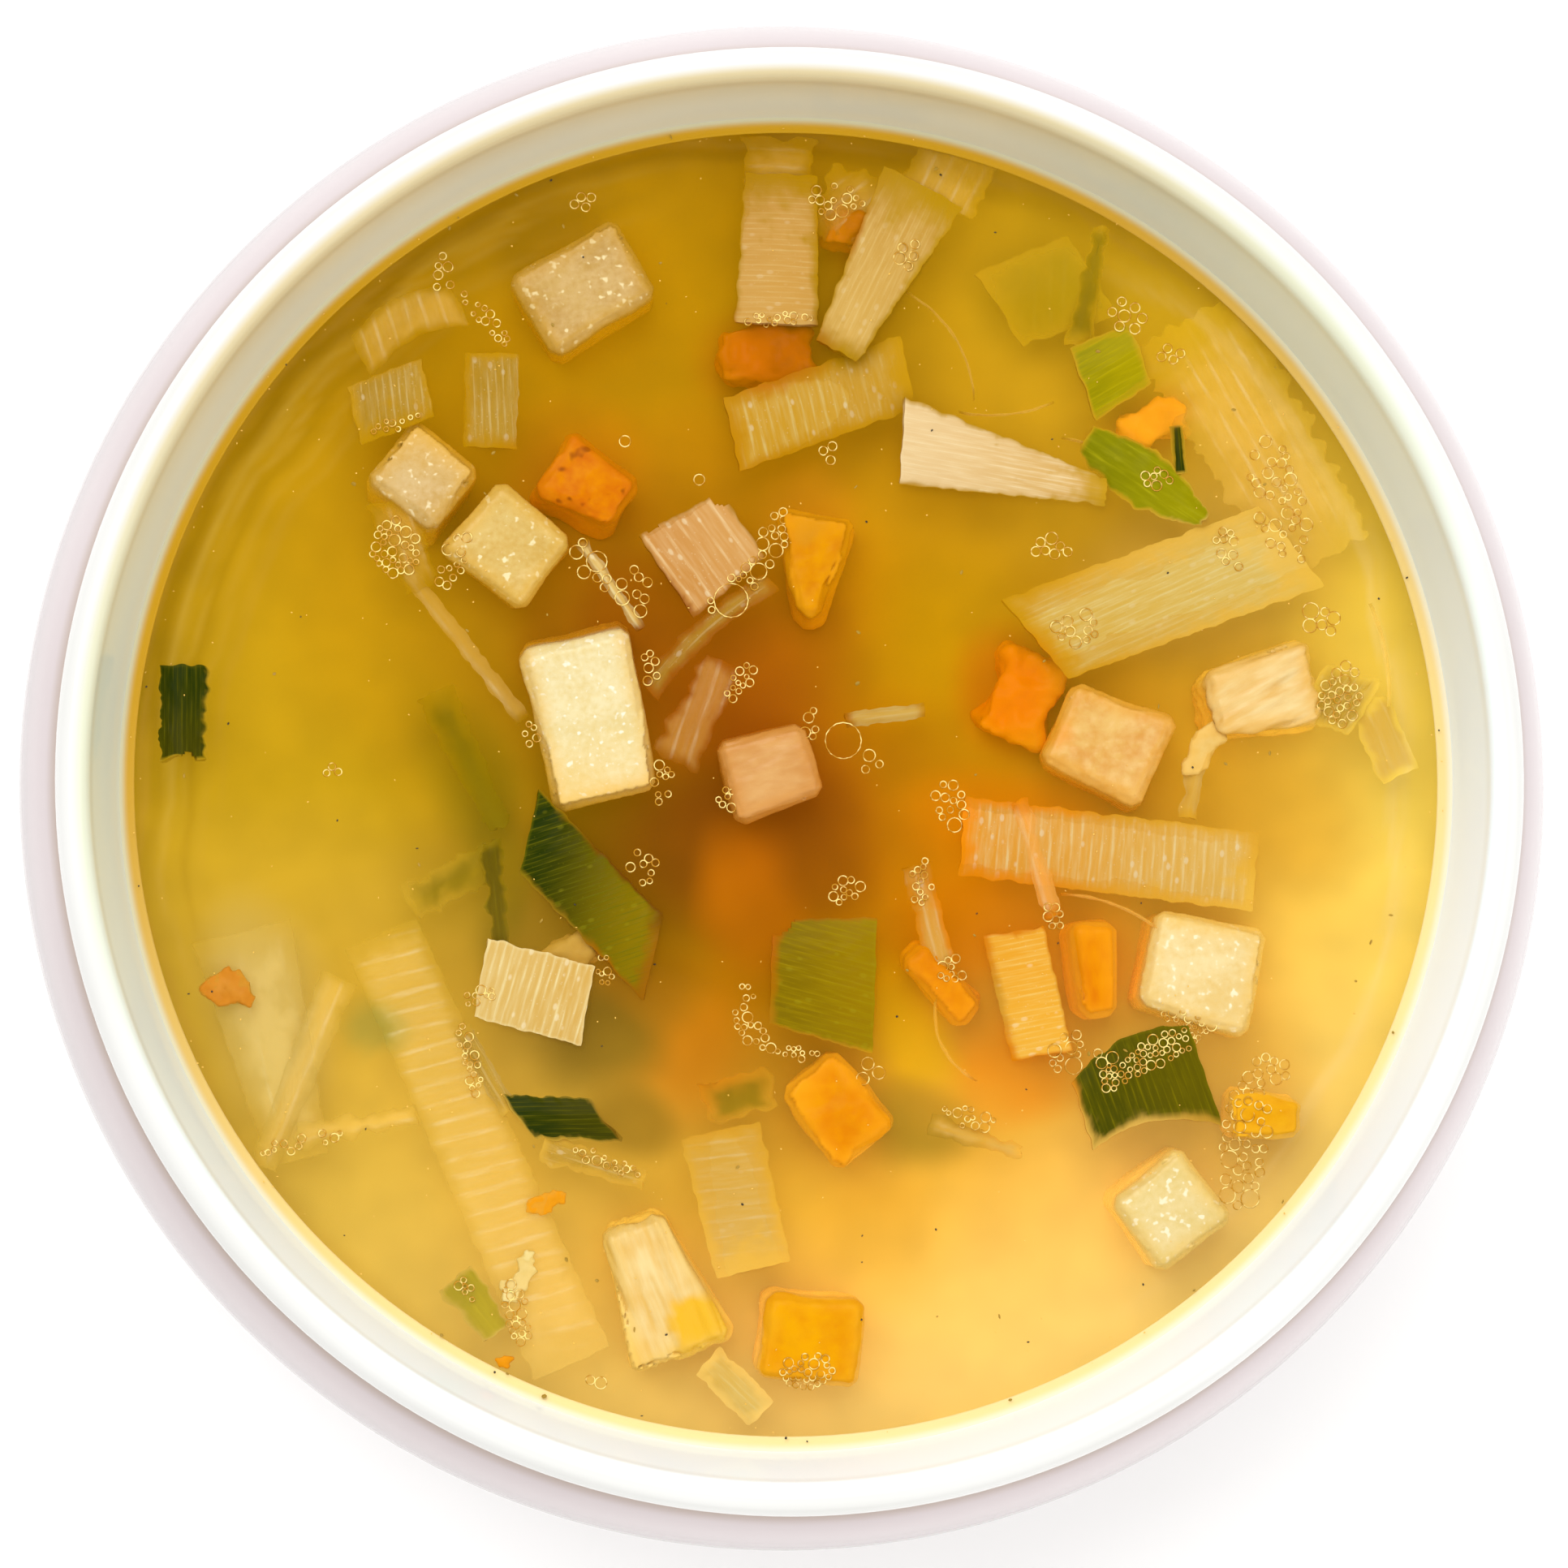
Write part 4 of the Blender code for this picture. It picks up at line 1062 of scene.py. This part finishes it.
# Leaves with no solid of their own, wholly in the liquid: middle, from the bowl's axis, turn, size,
# depth of the top under the surface, look, how ragged, and what else shapes them.
sunkLeaves = {
    "sunk_arch": ((-35.5, 42.4), 28, (10.5, 4.2, 0.3), 0.25, "clearVeil", 0.25,
        dict(bow=1.4, ribAngle=80)),
    "sunk_panel": ((24.6, 46.6), 20, (9.6, 8.0, 0.5), 1.4, "drownedYellow", 0.35,
        dict(far=1.1, slant=-12, ribAngle=70, fades=(3.5, 2.5, 3.0, 2.5))),
    "sunk_fold": ((28.4, 47.0), 78, (11.5, 2.6, 0.5), 0.9, "drownedGreen", 0.6,
        dict(far=0.5, fades=(2.5, 1.0, 0.8, 0.4))),
    "sunk_sliver": ((36.9, 31.4), 94, (4.6, 1.3, 0.6), -0.2, "darkGreen", 0.2,
        dict(fades=(0.2, 0.4, 0.1, 0.1))),
    "sunk_splinter_1": ((-16.8, 18.5), -55, (10.0, 1.2, 0.6), -0.15, "creamRibbed", 0.3, dict(far=0.8)),
    "sunk_splinter_2": ((-7.4, 13.6), 42, (15.5, 2.2, 0.4), 0.0, "clearRibbed", 0.3, dict(bow=0.9)),
    "sunk_film_1": ((-8.6, 6.4), 62, (10.5, 4.6, 0.3), 0.1, "clearVeil", 0.8, dict(far=0.8, ribAngle=10)),
    "sunk_splinter_3": ((9.0, 6.3), 7, (7.6, 1.4, 0.4), 0.1, "goldLong", 0.3, {}),
    "sunk_green_1": ((-30.6, 2.3), -64, (14.2, 3.8, 0.6), 1.0, "drownedGreen", 0.6,
        dict(far=0.55, fades=(3.0, 4.0, 1.6, 1.6))),
    "sunk_green_2": ((-27.6, -10.8), -84, (10.4, 2.0, 0.7), 0.1, "darkGreen", 0.7,
        dict(far=0.8, fades=(1.0, 0.5, 0.3, 0.5))),
    "sunk_green_3": ((-31.8, -9.2), 28, (9.0, 3.4, 0.4), 1.2, "drownedGreen", 0.8,
        dict(fades=(3.0, 3.0, 1.4, 1.4))),
    "sunk_ribbon": ((-29.3, -34.4), -66, (44.0, 7.4, 0.5), 0.5, "ribbedVeil", 0.25,
        dict(far=1.05, ribAngle=81, cup=0.4, wavy=0.1, relief=0.005, fades=(3.0, 6.0, 1.4, 1.4))),
    "sunk_glint": ((-40.5, -32.3), 10, (11.5, 2.4, 0.3), 0.1, "clearVeil", 0.7, dict(far=0.7)),
    "sunk_sheet": ((-49.6, -24.4), -76, (22.0, 9.5, 0.4), 1.2, "greyVeil", 0.25,
        dict(far=0.6, cup=0.8, fades=(7.0, 7.0, 4.0, 4.0))),
    "sunk_sheet_edge": ((-45.4, -27.0), 68, (19.0, 2.4, 0.4), 0.6, "clearVeil", 0.25, dict(far=1.5)),
    "sunk_glass": ((-18.4, -35.4), -18, (9.8, 2.9, 0.4), 0.05, "clearRibbed", 0.5, dict(far=0.6)),
    "sunk_narrow": ((-28.6, -27.0), -60, (9.0, 1.7, 0.4), 0.05, "clearRibbed", 0.3, {}),
    "sunk_curl": ((13.1, -12.9), -76, (10.4, 2.7, 0.4), 0.05, "amberRibbed", 0.4, {}),
    "sunk_strip_1": ((17.4, -33.3), -18, (9.0, 2.2, 0.4), 0.05, "paleGold", 0.5, dict(far=0.5)),
    "sunk_strip_2": ((23.3, -7.2), -74, (11.4, 1.8, 0.3), -0.6, "clearVeil", 0.4, {}),
    "sunk_green_4": ((-4.9, -29.4), -77, (3.6, 6.6, 0.5), 0.7, "drownedGreen", 0.8,
        dict(fades=(1.5, 1.0, 2.0, 2.0))),
    "sunk_corner": ((-29.6, -48.8), -52, (6.6, 4.0, 0.6), 0.2, "brightGreen", 0.5,
        dict(far=0.7, fades=(0.6, 0.3, 0.8, 0.3))),
    "sunk_strip_3": ((38.1, -0.4), 80, (6.0, 1.6, 0.4), 0.2, "paleGold", 0.4, {}),
    "sunk_square": ((52.0, 7.8), -18, (5.6, 5.8, 0.5), 0.2, "clearRibbed", 0.5,
        dict(slant=12, ribAngle=70)),
    "sunk_strip_4": ((56.4, 4.0), -66, (7.6, 4.0, 0.4), 0.5, "paleGold", 0.4, {}),
    "sunk_strip_5": ((-5.2, -56.6), -44, (7.2, 3.4, 0.4), 0.6, "goldLong", 0.4, {}),
    "sunk_veil_1": ((44.0, 33.0), -60, (26.0, 12.0, 0.3), 0.8, "clearVeil", 1.2,
        dict(far=0.8, fades=(8.0, 8.0, 4.5, 4.5))),
    "sunk_veil_2": ((8.0, 53.5), -20, (10.0, 7.0, 0.3), 0.6, "clearVeil", 1.0,
        dict(ribAngle=60, fades=(3.0, 3.0, 2.5, 2.5))),
    "sunk_veil_3": ((-36.4, 22.6), -70, (9.0, 4.8, 0.3), 0.1, "clearVeil", 0.8,
        dict(far=0.6, fades=(3.0, 3.0, 1.8, 1.8))),
    "sunk_tip_1": ((-0.8, 58.6), -92, (4.6, 6.4, 0.3), 0.3, "clearVeil", 0.7,
        dict(ribAngle=90, fades=(3.5, 0.6, 2.0, 2.0))),
    "sunk_tip_2": ((15.2, 57.6), -118, (6.0, 7.6, 0.3), 0.3, "clearVeil", 0.8,
        dict(ribAngle=2, fades=(4.5, 0.6, 2.0, 2.0))),
    "filament_1": ((14.4, 41.2), -58, (12.0, 0.26, 0.12), 0.1, "paleThread", 0.1, dict(bow=1.6)),
    "filament_2": ((20.6, 35.3), 6, (9.0, 0.26, 0.12), 0.1, "paleThread", 0.1, dict(bow=-0.7)),
    "filament_3": ((29.8, 30.4), -28, (9.0, 0.3, 0.12), -0.3, "paleThread", 0.1, dict(bow=0.8)),
    "filament_4": ((31.0, -13.0), -24, (12.0, 0.3, 0.12), -0.2, "paleThread", 0.1, dict(bow=1.2)),
    "filament_5": ((15.6, -24.0), -66, (9.0, 0.3, 0.12), 0.1, "paleThread", 0.1, dict(bow=-1.6)),
    "filament_6": ((56.0, 12.0), -80, (10.0, 0.4, 0.12), 0.1, "paleThread", 0.1, dict(bow=0.6)),
    "sunk_thread": ((-30.4, 13.0), -52, (18.0, 1.5, 0.3), 0.3, "clearVeil", 0.3, {}),
}


def makeSunkLeaves():
    made = []
    for name, (at, turn, size, under, look, rag, more) in sunkLeaves.items():
        piece = dict(at=at, turn=turn, size=size, under=under, look=look, rag=rag, **more)
        slot = "leek_green" if "Green" in look else "leek_white"
        made.append(finishPiece(makeLeaf(name, piece), slot))
    return made


sunkPieces = makeSunkLeaves()
print("sunk leaves:", sum(len(piece.data.polygons) for piece in sunkPieces), "faces")

# ---- sunk chunks, flakes and crumbs of carrot and chicken

chunks = {
    # name: middle, turn, size in mm, depth of the top under the surface, kind, colours
    "sunk_carrot_1": dict(at=(-1.9, 40.6), turn=2, size=(8.6, 5.4, 4), under=1.2, pale="bc5000",
        dark="a44200"),
    "sunk_carrot_2": dict(at=(5.6, 52.4), turn=70, size=(4.0, 3.6, 3), under=0.5, pale="cc6c08",
        dark="b05400"),
    "sunk_carrot_3": dict(at=(34.6, 33.8), turn=20, size=(6.4, 3.6, 3), under=1.4, pale="f09414",
        dark="e08408"),
    "sunk_carrot_4": dict(at=(22.3, 8.0), turn=70, size=(8.6, 6.4, 5), under=2.6, pale="d86e00",
        dark="c05a00"),
    "carrot_flake_1": dict(at=(-52.4, -19.6), turn=-20, size=(5.2, 4.0, 0.9), under=-0.1, torn=11,
        pale="dc9434", dark="c47818"),
    "carrot_flake_2": dict(at=(-22.9, -39.3), turn=30, size=(3.8, 1.9, 0.7), under=0.0, torn=7,
        pale="eda41c", dark="dc8c0a"),
    "carrot_crumb": dict(at=(-26.7, -54.2), turn=25, size=(1.5, 1.3, 0.8), under=-0.2, torn=4,
        pale="f2a418", dark="e08c08"),
    "chicken_crumb": dict(at=(38.6, 3.2), turn=64, size=(5.8, 3.6, 1.6), under=0.0, torn=9, pale="eccb80",
        dark="e0b052"),
    "white_crumb": dict(at=(-25.4, -46.2), turn=62, size=(5.4, 2.4, 0.8), under=0.0, torn=12,
        pale="f0e2ac", dark="dfc474"),
    "root_corner": dict(at=(-20.6, -16.6), turn=30, size=(5.6, 3.0, 3), under=0.3, pale="dcb45c",
        dark="c89a40"),
}


# A torn crumb is a chain of small scraps, joined into one by the remesh.
def fillWithScraps(shell, chunk, chance):
    length, width, depth = chunk["size"]
    for at in range(chunk["torn"]):
        along = (at + 0.5) / chunk["torn"] - 0.5
        aside = chance.uniform(-0.5, 0.5) * (1 - (2 * along) ** 2) ** 0.5
        size = Vector((length * 1.5 / chunk["torn"] + 0.5, width * chance.uniform(0.3, 0.6), depth)) * mm
        scrap = Matrix.Translation(Vector((along * length * 0.8, aside * width * 0.7, 0.0)) * mm)
        turn = Matrix.Rotation(chance.uniform(0, math.pi), 4, "Z")
        scrap = scrap @ turn @ Matrix.Diagonal((*size, 1.0))
        bmesh.ops.create_cube(shell, size=1.0, matrix=scrap)


def makeChunks():
    made = []
    for seed, (name, chunk) in enumerate(chunks.items()):
        length, width, depth = chunk["size"]
        shell = bmesh.new()
        if "torn" in chunk:
            fillWithScraps(shell, chunk, random.Random(seed))
        else:
            bmesh.ops.create_cube(shell, size=1.0)
            bmesh.ops.scale(shell, vec=Vector((length, width, depth)) * mm, verts=shell.verts)
            bmesh.ops.bevel(
                shell, geom=shell.edges, offset=0.16 * depth * mm, segments=2, affect="EDGES", profile=0.5
            )
        mesh = bpy.data.meshes.new(name + "Blank")
        shell.to_mesh(mesh)
        shell.free()
        middle = Vector((*chunk["at"], brothLevel - chunk["under"] - depth / 2)) * mm
        mesh.transform(Matrix.Translation(middle) @ Matrix.Rotation(math.radians(chunk["turn"]), 4, "Z"))
        piece = remeshed(link(bpy.data.objects.new(name + "Blank", mesh)), name, min(0.4, depth / 4))
        thin = min(1.0, min(chunk["size"]) / 3)
        roughen(piece, ((3.0, 1.1 * thin), (1.1, 0.5 * thin), (0.5, 0.12)), seed + 40)
        markInset(piece)
        markDepth(piece, lift=False)
        steepPiece(piece)
        finish = makeFlesh(name + "Flesh", chunk["pale"], chunk["dark"], chunk["dark"], 1.2, gloss=0.05)
        piece.data.materials.append(finish)
        piece.data.shade_smooth()
        slot = "carrot" if "carrot" in name else "chicken" if "chicken" in name else "potato"
        made.append(finishPiece(piece, slot))
    return made


chunkPieces = makeChunks()
print("chunks:", sum(len(piece.data.polygons) for piece in chunkPieces), "faces")

# ---- bubbles and specks

# Where something stands out of the liquid, what floats there lies on it.
def makeHeightFinder():
    points, faces = [], []
    for piece in dicePieces + leafPieces + sunkPieces + chunkPieces:
        first = len(points)
        points += [vertex.co.copy() for vertex in piece.data.vertices]
        faces += [[first + at for at in face.vertices] for face in piece.data.polygons]
    tree = BVHTree.FromPolygons(points, faces)

    def heightAt(x, y):
        hit = tree.ray_cast(Vector((x * mm, y * mm, 0.1)), Vector((0, 0, -1)))[0]
        return max(brothLevel, hit.z / mm if hit else 0.0)

    return heightAt


heightAt = makeHeightFinder()

bubbleClusters = [
    # middle, half length and width, turn, how many, smallest and largest radius, in mm
    ((5.0, 3.9), (0.1, 0.1), 0, 1, 1.7, 1.7), ((-5.4, 17.1), (0.1, 0.1), 0, 1, 1.6, 1.6),
    ((7.6, 2.0), (0.9, 1.6), 0, 3, 0.35, 0.7), ((42.8, -33.6), (2.0, 6.6), -6, 46, 0.35, 0.85),
    ((45.4, -27.0), (1.6, 1.0), -20, 7, 0.35, 0.8), ((-1.6, 22.4), (1.2, 3.2), -20, 14, 0.3, 0.8),
    ((-4.6, 18.6), (4.2, 1.1), 42, 16, 0.25, 0.7), ((-31.6, 20.6), (1.0, 3.2), -20, 12, 0.25, 0.6),
    ((-18.6, 20.4), (1.0, 2.6), 30, 9, 0.4, 1.0), ((-14.6, 18.0), (1.4, 2.4), 0, 8, 0.4, 0.8),
    ((-24.4, 4.4), (0.7, 1.4), 0, 5, 0.25, 0.5), ((-13.2, 10.6), (1.0, 2.0), 0, 6, 0.3, 0.7),
    ((-11.8, -0.4), (1.2, 2.2), 20, 9, 0.25, 0.5), ((-6.0, -1.6), (0.8, 1.2), 0, 6, 0.25, 0.5),
    ((2.0, 5.4), (0.8, 1.4), 0, 5, 0.3, 0.6), ((-1.0, 43.6), (3.4, 0.5), 2, 14, 0.2, 0.4),
    ((-37.0, 22.0), (2.2, 2.6), 20, 30, 0.25, 0.6), ((-19.5, 54.5), (1.2, 0.9), 30, 5, 0.4, 0.6),
    ((-32.5, 48.0), (1.0, 1.8), 0, 6, 0.3, 0.6), ((-28.6, 43.6), (3.4, 0.8), -50, 14, 0.2, 0.45),
    ((-13.6, -8.2), (1.2, 1.8), 40, 8, 0.25, 0.5), ((5.4, -10.2), (1.6, 1.0), 30, 10, 0.25, 0.55),
    ((-3.6, -23.4), (0.9, 2.6), 40, 14, 0.25, 0.5), ((0.4, -25.4), (2.2, 0.6), -5, 10, 0.2, 0.45),
    ((7.4, -27.2), (1.0, 1.0), 0, 4, 0.5, 1.0), ((15.0, -2.0), (1.4, 2.4), 20, 12, 0.3, 0.9),
    ((12.4, -9.4), (1.0, 2.2), 0, 12, 0.25, 0.6), ((15.0, -17.6), (1.4, 1.2), -40, 9, 0.25, 0.6),
    ((26.0, -25.4), (1.4, 2.0), -10, 10, 0.3, 0.8), ((29.4, -25.8), (1.0, 0.8), 0, 4, 0.4, 0.7),
    ((34.4, -25.6), (5.2, 1.3), 28, 46, 0.22, 0.5), ((37.6, -22.6), (2.6, 0.7), -20, 12, 0.2, 0.5),
    ((30.2, -27.8), (0.8, 1.4), 0, 8, 0.2, 0.45), ((1.6, -55.2), (2.4, 1.6), 10, 26, 0.25, 0.55),
    ((24.8, 22.0), (1.6, 1.0), 0, 7, 0.4, 0.7), ((27.2, 14.4), (2.2, 1.6), 0, 10, 0.3, 0.6),
    ((50.4, 15.4), (1.6, 1.2), -20, 8, 0.4, 0.8), ((46.4, 26.4), (2.6, 6.2), 10, 34, 0.3, 0.6),
    ((41.6, 22.0), (1.4, 2.2), 0, 9, 0.3, 0.6), ((52.0, 7.6), (2.0, 2.2), 0, 26, 0.3, 0.5),
    ((34.8, 28.6), (1.2, 1.0), 0, 7, 0.3, 0.6), ((-17.0, -35.6), (3.4, 0.7), -18, 14, 0.2, 0.45),
    ((-29.0, -20.0), (1.8, 0.6), 20, 8, 0.2, 0.45), ((-30.0, -26.0), (0.8, 3.4), 14, 18, 0.2, 0.45),
    ((-17.4, -17.8), (0.8, 1.6), 0, 8, 0.2, 0.5), ((-25.6, -49.6), (1.0, 3.2), 10, 24, 0.25, 0.55),
    ((-30.4, -47.4), (0.6, 1.6), 20, 6, 0.2, 0.4), ((16.8, -31.6), (2.6, 0.9), -14, 12, 0.2, 0.5),
    ((25.0, -12.6), (1.0, 1.2), 0, 7, 0.3, 0.6), ((32.0, 44.0), (1.6, 1.8), 0, 8, 0.4, 0.8),
    ((36.4, 40.4), (1.2, 0.8), 0, 4, 0.4, 0.6), ((4.6, 55.0), (2.6, 1.6), 0, 14, 0.25, 0.6),
    ((11.4, 49.8), (1.0, 1.4), 0, 5, 0.4, 0.6), ((3.8, 30.8), (0.9, 0.9), 0, 3, 0.4, 0.7),
    ((-15.4, 32.4), (0.8, 0.4), 0, 3, 0.4, 0.6), ((-8.2, 28.4), (0.3, 0.3), 0, 1, 0.5, 0.5),
    ((-42.8, 1.2), (0.8, 0.6), 0, 3, 0.3, 0.5), ((-18.0, -56.2), (0.8, 0.8), 0, 3, 0.4, 0.7),
    ((-45.6, -33.6), (4.2, 0.7), 12, 12, 0.2, 0.4), ((-4.2, -20.0), (1.0, 1.2), 0, 5, 0.2, 0.4),
    ((52.6, 10.0), (1.2, 1.0), 0, 6, 0.4, 0.6), ((-4.6, 9.4), (2.0, 0.9), 50, 12, 0.2, 0.4),
    ((-36.8, 33.6), (2.6, 0.5), 14, 9, 0.2, 0.35),
]


def bubblePoints():
    chance = random.Random(11)
    found = []
    for (x, y), (long, wide), degrees, count, small, large in bubbleClusters:
        angle = math.radians(degrees)
        placed = 0
        for attempt in range(count * 30):
            if placed == count:
                break
            radius = small + (large - small) * chance.random() ** 2
            out, turn = math.sqrt(chance.random()), chance.uniform(0, math.tau)
            along, aside = long * out * math.cos(turn), wide * out * math.sin(turn)
            bx = x + along * math.cos(angle) - aside * math.sin(angle)
            by = y + along * math.sin(angle) + aside * math.cos(angle)
            if all(math.hypot(bx - ox, by - oy) > 0.98 * (radius + other) for ox, oy, other in found):
                found.append((bx, by, radius))
                placed += 1
    return found


# Each point becomes a thin bright ring, the line where a bubble meets the surface; its brightness is
# painted light caught by the rim.
def makeBubbleTree():
    tree, given = newGeometryTree("bubbles", {"LineWidth": 0.05, "Ring": None})
    size = addNode(
        tree, "GeometryNodeInputNamedAttribute", {"Name": "bubbleSize"}, data_type="FLOAT"
    ).outputs[0]
    points = addNode(tree, "GeometryNodeMeshToPoints", {0: given["Geometry"]}).outputs[0]
    circle = ringCurve(tree, 16, 1.0)
    inputs = {"Points": points, "Instance": circle, "Scale": combined(tree, size, size, size)}
    rings = addNode(tree, "GeometryNodeInstanceOnPoints", inputs).outputs[0]
    loops = addNode(tree, "GeometryNodeRealizeInstances", {0: rings}).outputs[0]
    level = addNode(tree, "GeometryNodeSetCurveRadius", {0: loops, "Radius": 1.0}).outputs[0]
    line = ringCurve(tree, 3, given["LineWidth"])
    tubes = addNode(tree, "GeometryNodeCurveToMesh", {0: level, 1: line}).outputs[0]
    tubes = addNode(tree, "GeometryNodeSetMaterial", {0: tubes, "Material": given["Ring"]}).outputs[0]
    smooth = addNode(tree, "GeometryNodeSetShadeSmooth", {0: tubes}).outputs[0]
    endTree(tree, smooth)
    return tree


def makeBubbleFinish():
    ring, tree, shader = newMaterial("bubbleFoot", Roughness=0.15, IOR=1.34)  # a bright gold line
    place = ownPlace(tree)
    patch = noiseAt(tree, place, 1400.0)
    # Painted highlights: the ring is mixed brighter in patches, where its curved rim catches the light.
    tone = mixColours(tree, smoothBand(tree, patch, 0.4, 0.62), asSeen("dc9c20"), asColour("fbe088"))
    tree.links.new(tone, shader.inputs["Base Color"])
    return ring


def makeBubbles():
    found = bubblePoints()
    mesh = bpy.data.meshes.new("bubblePlaces")
    mesh.from_pydata([Vector((x, y, heightAt(x, y) + 0.03)) * mm for x, y, radius in found], [], [])
    keep(mesh, "bubbleSize", [radius * mm for x, y, radius in found])
    live = link(bpy.data.objects.new("bubblePlaces", mesh))
    values = {"LineWidth": 0.07 * mm, "Ring": makeBubbleFinish()}
    return runTree(live, makeBubbleTree(), "bubbles", values)


bubblePiece = finishPiece(makeBubbles(), "broth")
print("bubbles:", len(bubblePiece.data.polygons), "faces")


# Ground pepper and herb dust: dark grains on the surface and a few along the waterline.
def makeSpeckTree():
    inputs = {"Smallest": 0.1, "Largest": 0.3, "Seed": 0, "Material": None}
    tree, given = newGeometryTree("specks", inputs)
    grain = addNode(tree, "GeometryNodeMeshIcoSphere", {"Radius": 0.5, "Subdivisions": 1}).outputs[0]
    small, large = given["Smallest"], given["Largest"]
    ranges = (
        (combined(tree, small, small, small), combined(tree, large, large, small)),
        ((0, 0, 0), (0.6, 0.6, 6.28)),
    )
    scale, turn = (addNode(
        tree, "FunctionNodeRandomValue", {0: low, 1: high, "Seed": given["Seed"]}, data_type="FLOAT_VECTOR"
    ).outputs[0] for low, high in ranges)
    points = addNode(tree, "GeometryNodeMeshToPoints", {0: given["Geometry"]}).outputs[0]
    inputs = {"Points": points, "Instance": grain, "Rotation": turn, "Scale": scale}
    scattered = addNode(tree, "GeometryNodeInstanceOnPoints", inputs).outputs[0]
    endTree(tree, scattered, given["Material"])
    return tree


specks = {
    # name: how many on the open surface and along the wall, smallest and largest in mm, two colours
    "pepper": dict(open=34, wall=10, small=0.12, large=0.34, colours=("1c1408", "3a2a10")),
    "herb_dust": dict(open=40, wall=12, small=0.15, large=0.6, colours=("8a6a10", "b08a18")),
    "sediment": dict(open=260, wall=60, small=0.08, large=0.24, colours=("f0c860", "e0a838")),
}


def makeSpecks():
    speckTree = makeSpeckTree()
    edge = neckRadius(brothLevel)
    for seed, (name, kind) in enumerate(specks.items()):
        chance = random.Random(100 + seed)
        spots = []
        for at in range(kind["open"] + kind["wall"]):
            turn = chance.uniform(0, math.tau)
            radius = (edge - 2.0) * math.sqrt(chance.random())
            if at >= kind["open"]:
                radius = edge - chance.uniform(0.6, 2.2)
            x, y = radius * math.cos(turn), radius * math.sin(turn)
            lift = 0.05 if at < kind["open"] else 0.35
            spots.append(Vector((x, y, heightAt(x, y) + lift)) * mm)
        mesh = bpy.data.meshes.new(name + "Places")
        mesh.from_pydata(spots, [], [])
        material, tree, shader = newMaterial(name + "Grain", Roughness=0.5)  # wet, dull grains
        place = ownPlace(tree)
        patch = noiseAt(tree, place, 700.0)
        tone = mixColours(tree, patch, asColour(kind["colours"][0]), asColour(kind["colours"][1]))
        tree.links.new(tone, shader.inputs["Base Color"])
        live = link(bpy.data.objects.new(name + "Places", mesh))
        small, large = kind["small"] * mm, kind["large"] * mm
        values = {"Smallest": small, "Largest": large, "Seed": seed, "Material": material}
        finishPiece(runTree(live, speckTree, name, values), "broth")


makeSpecks()
print("specks")
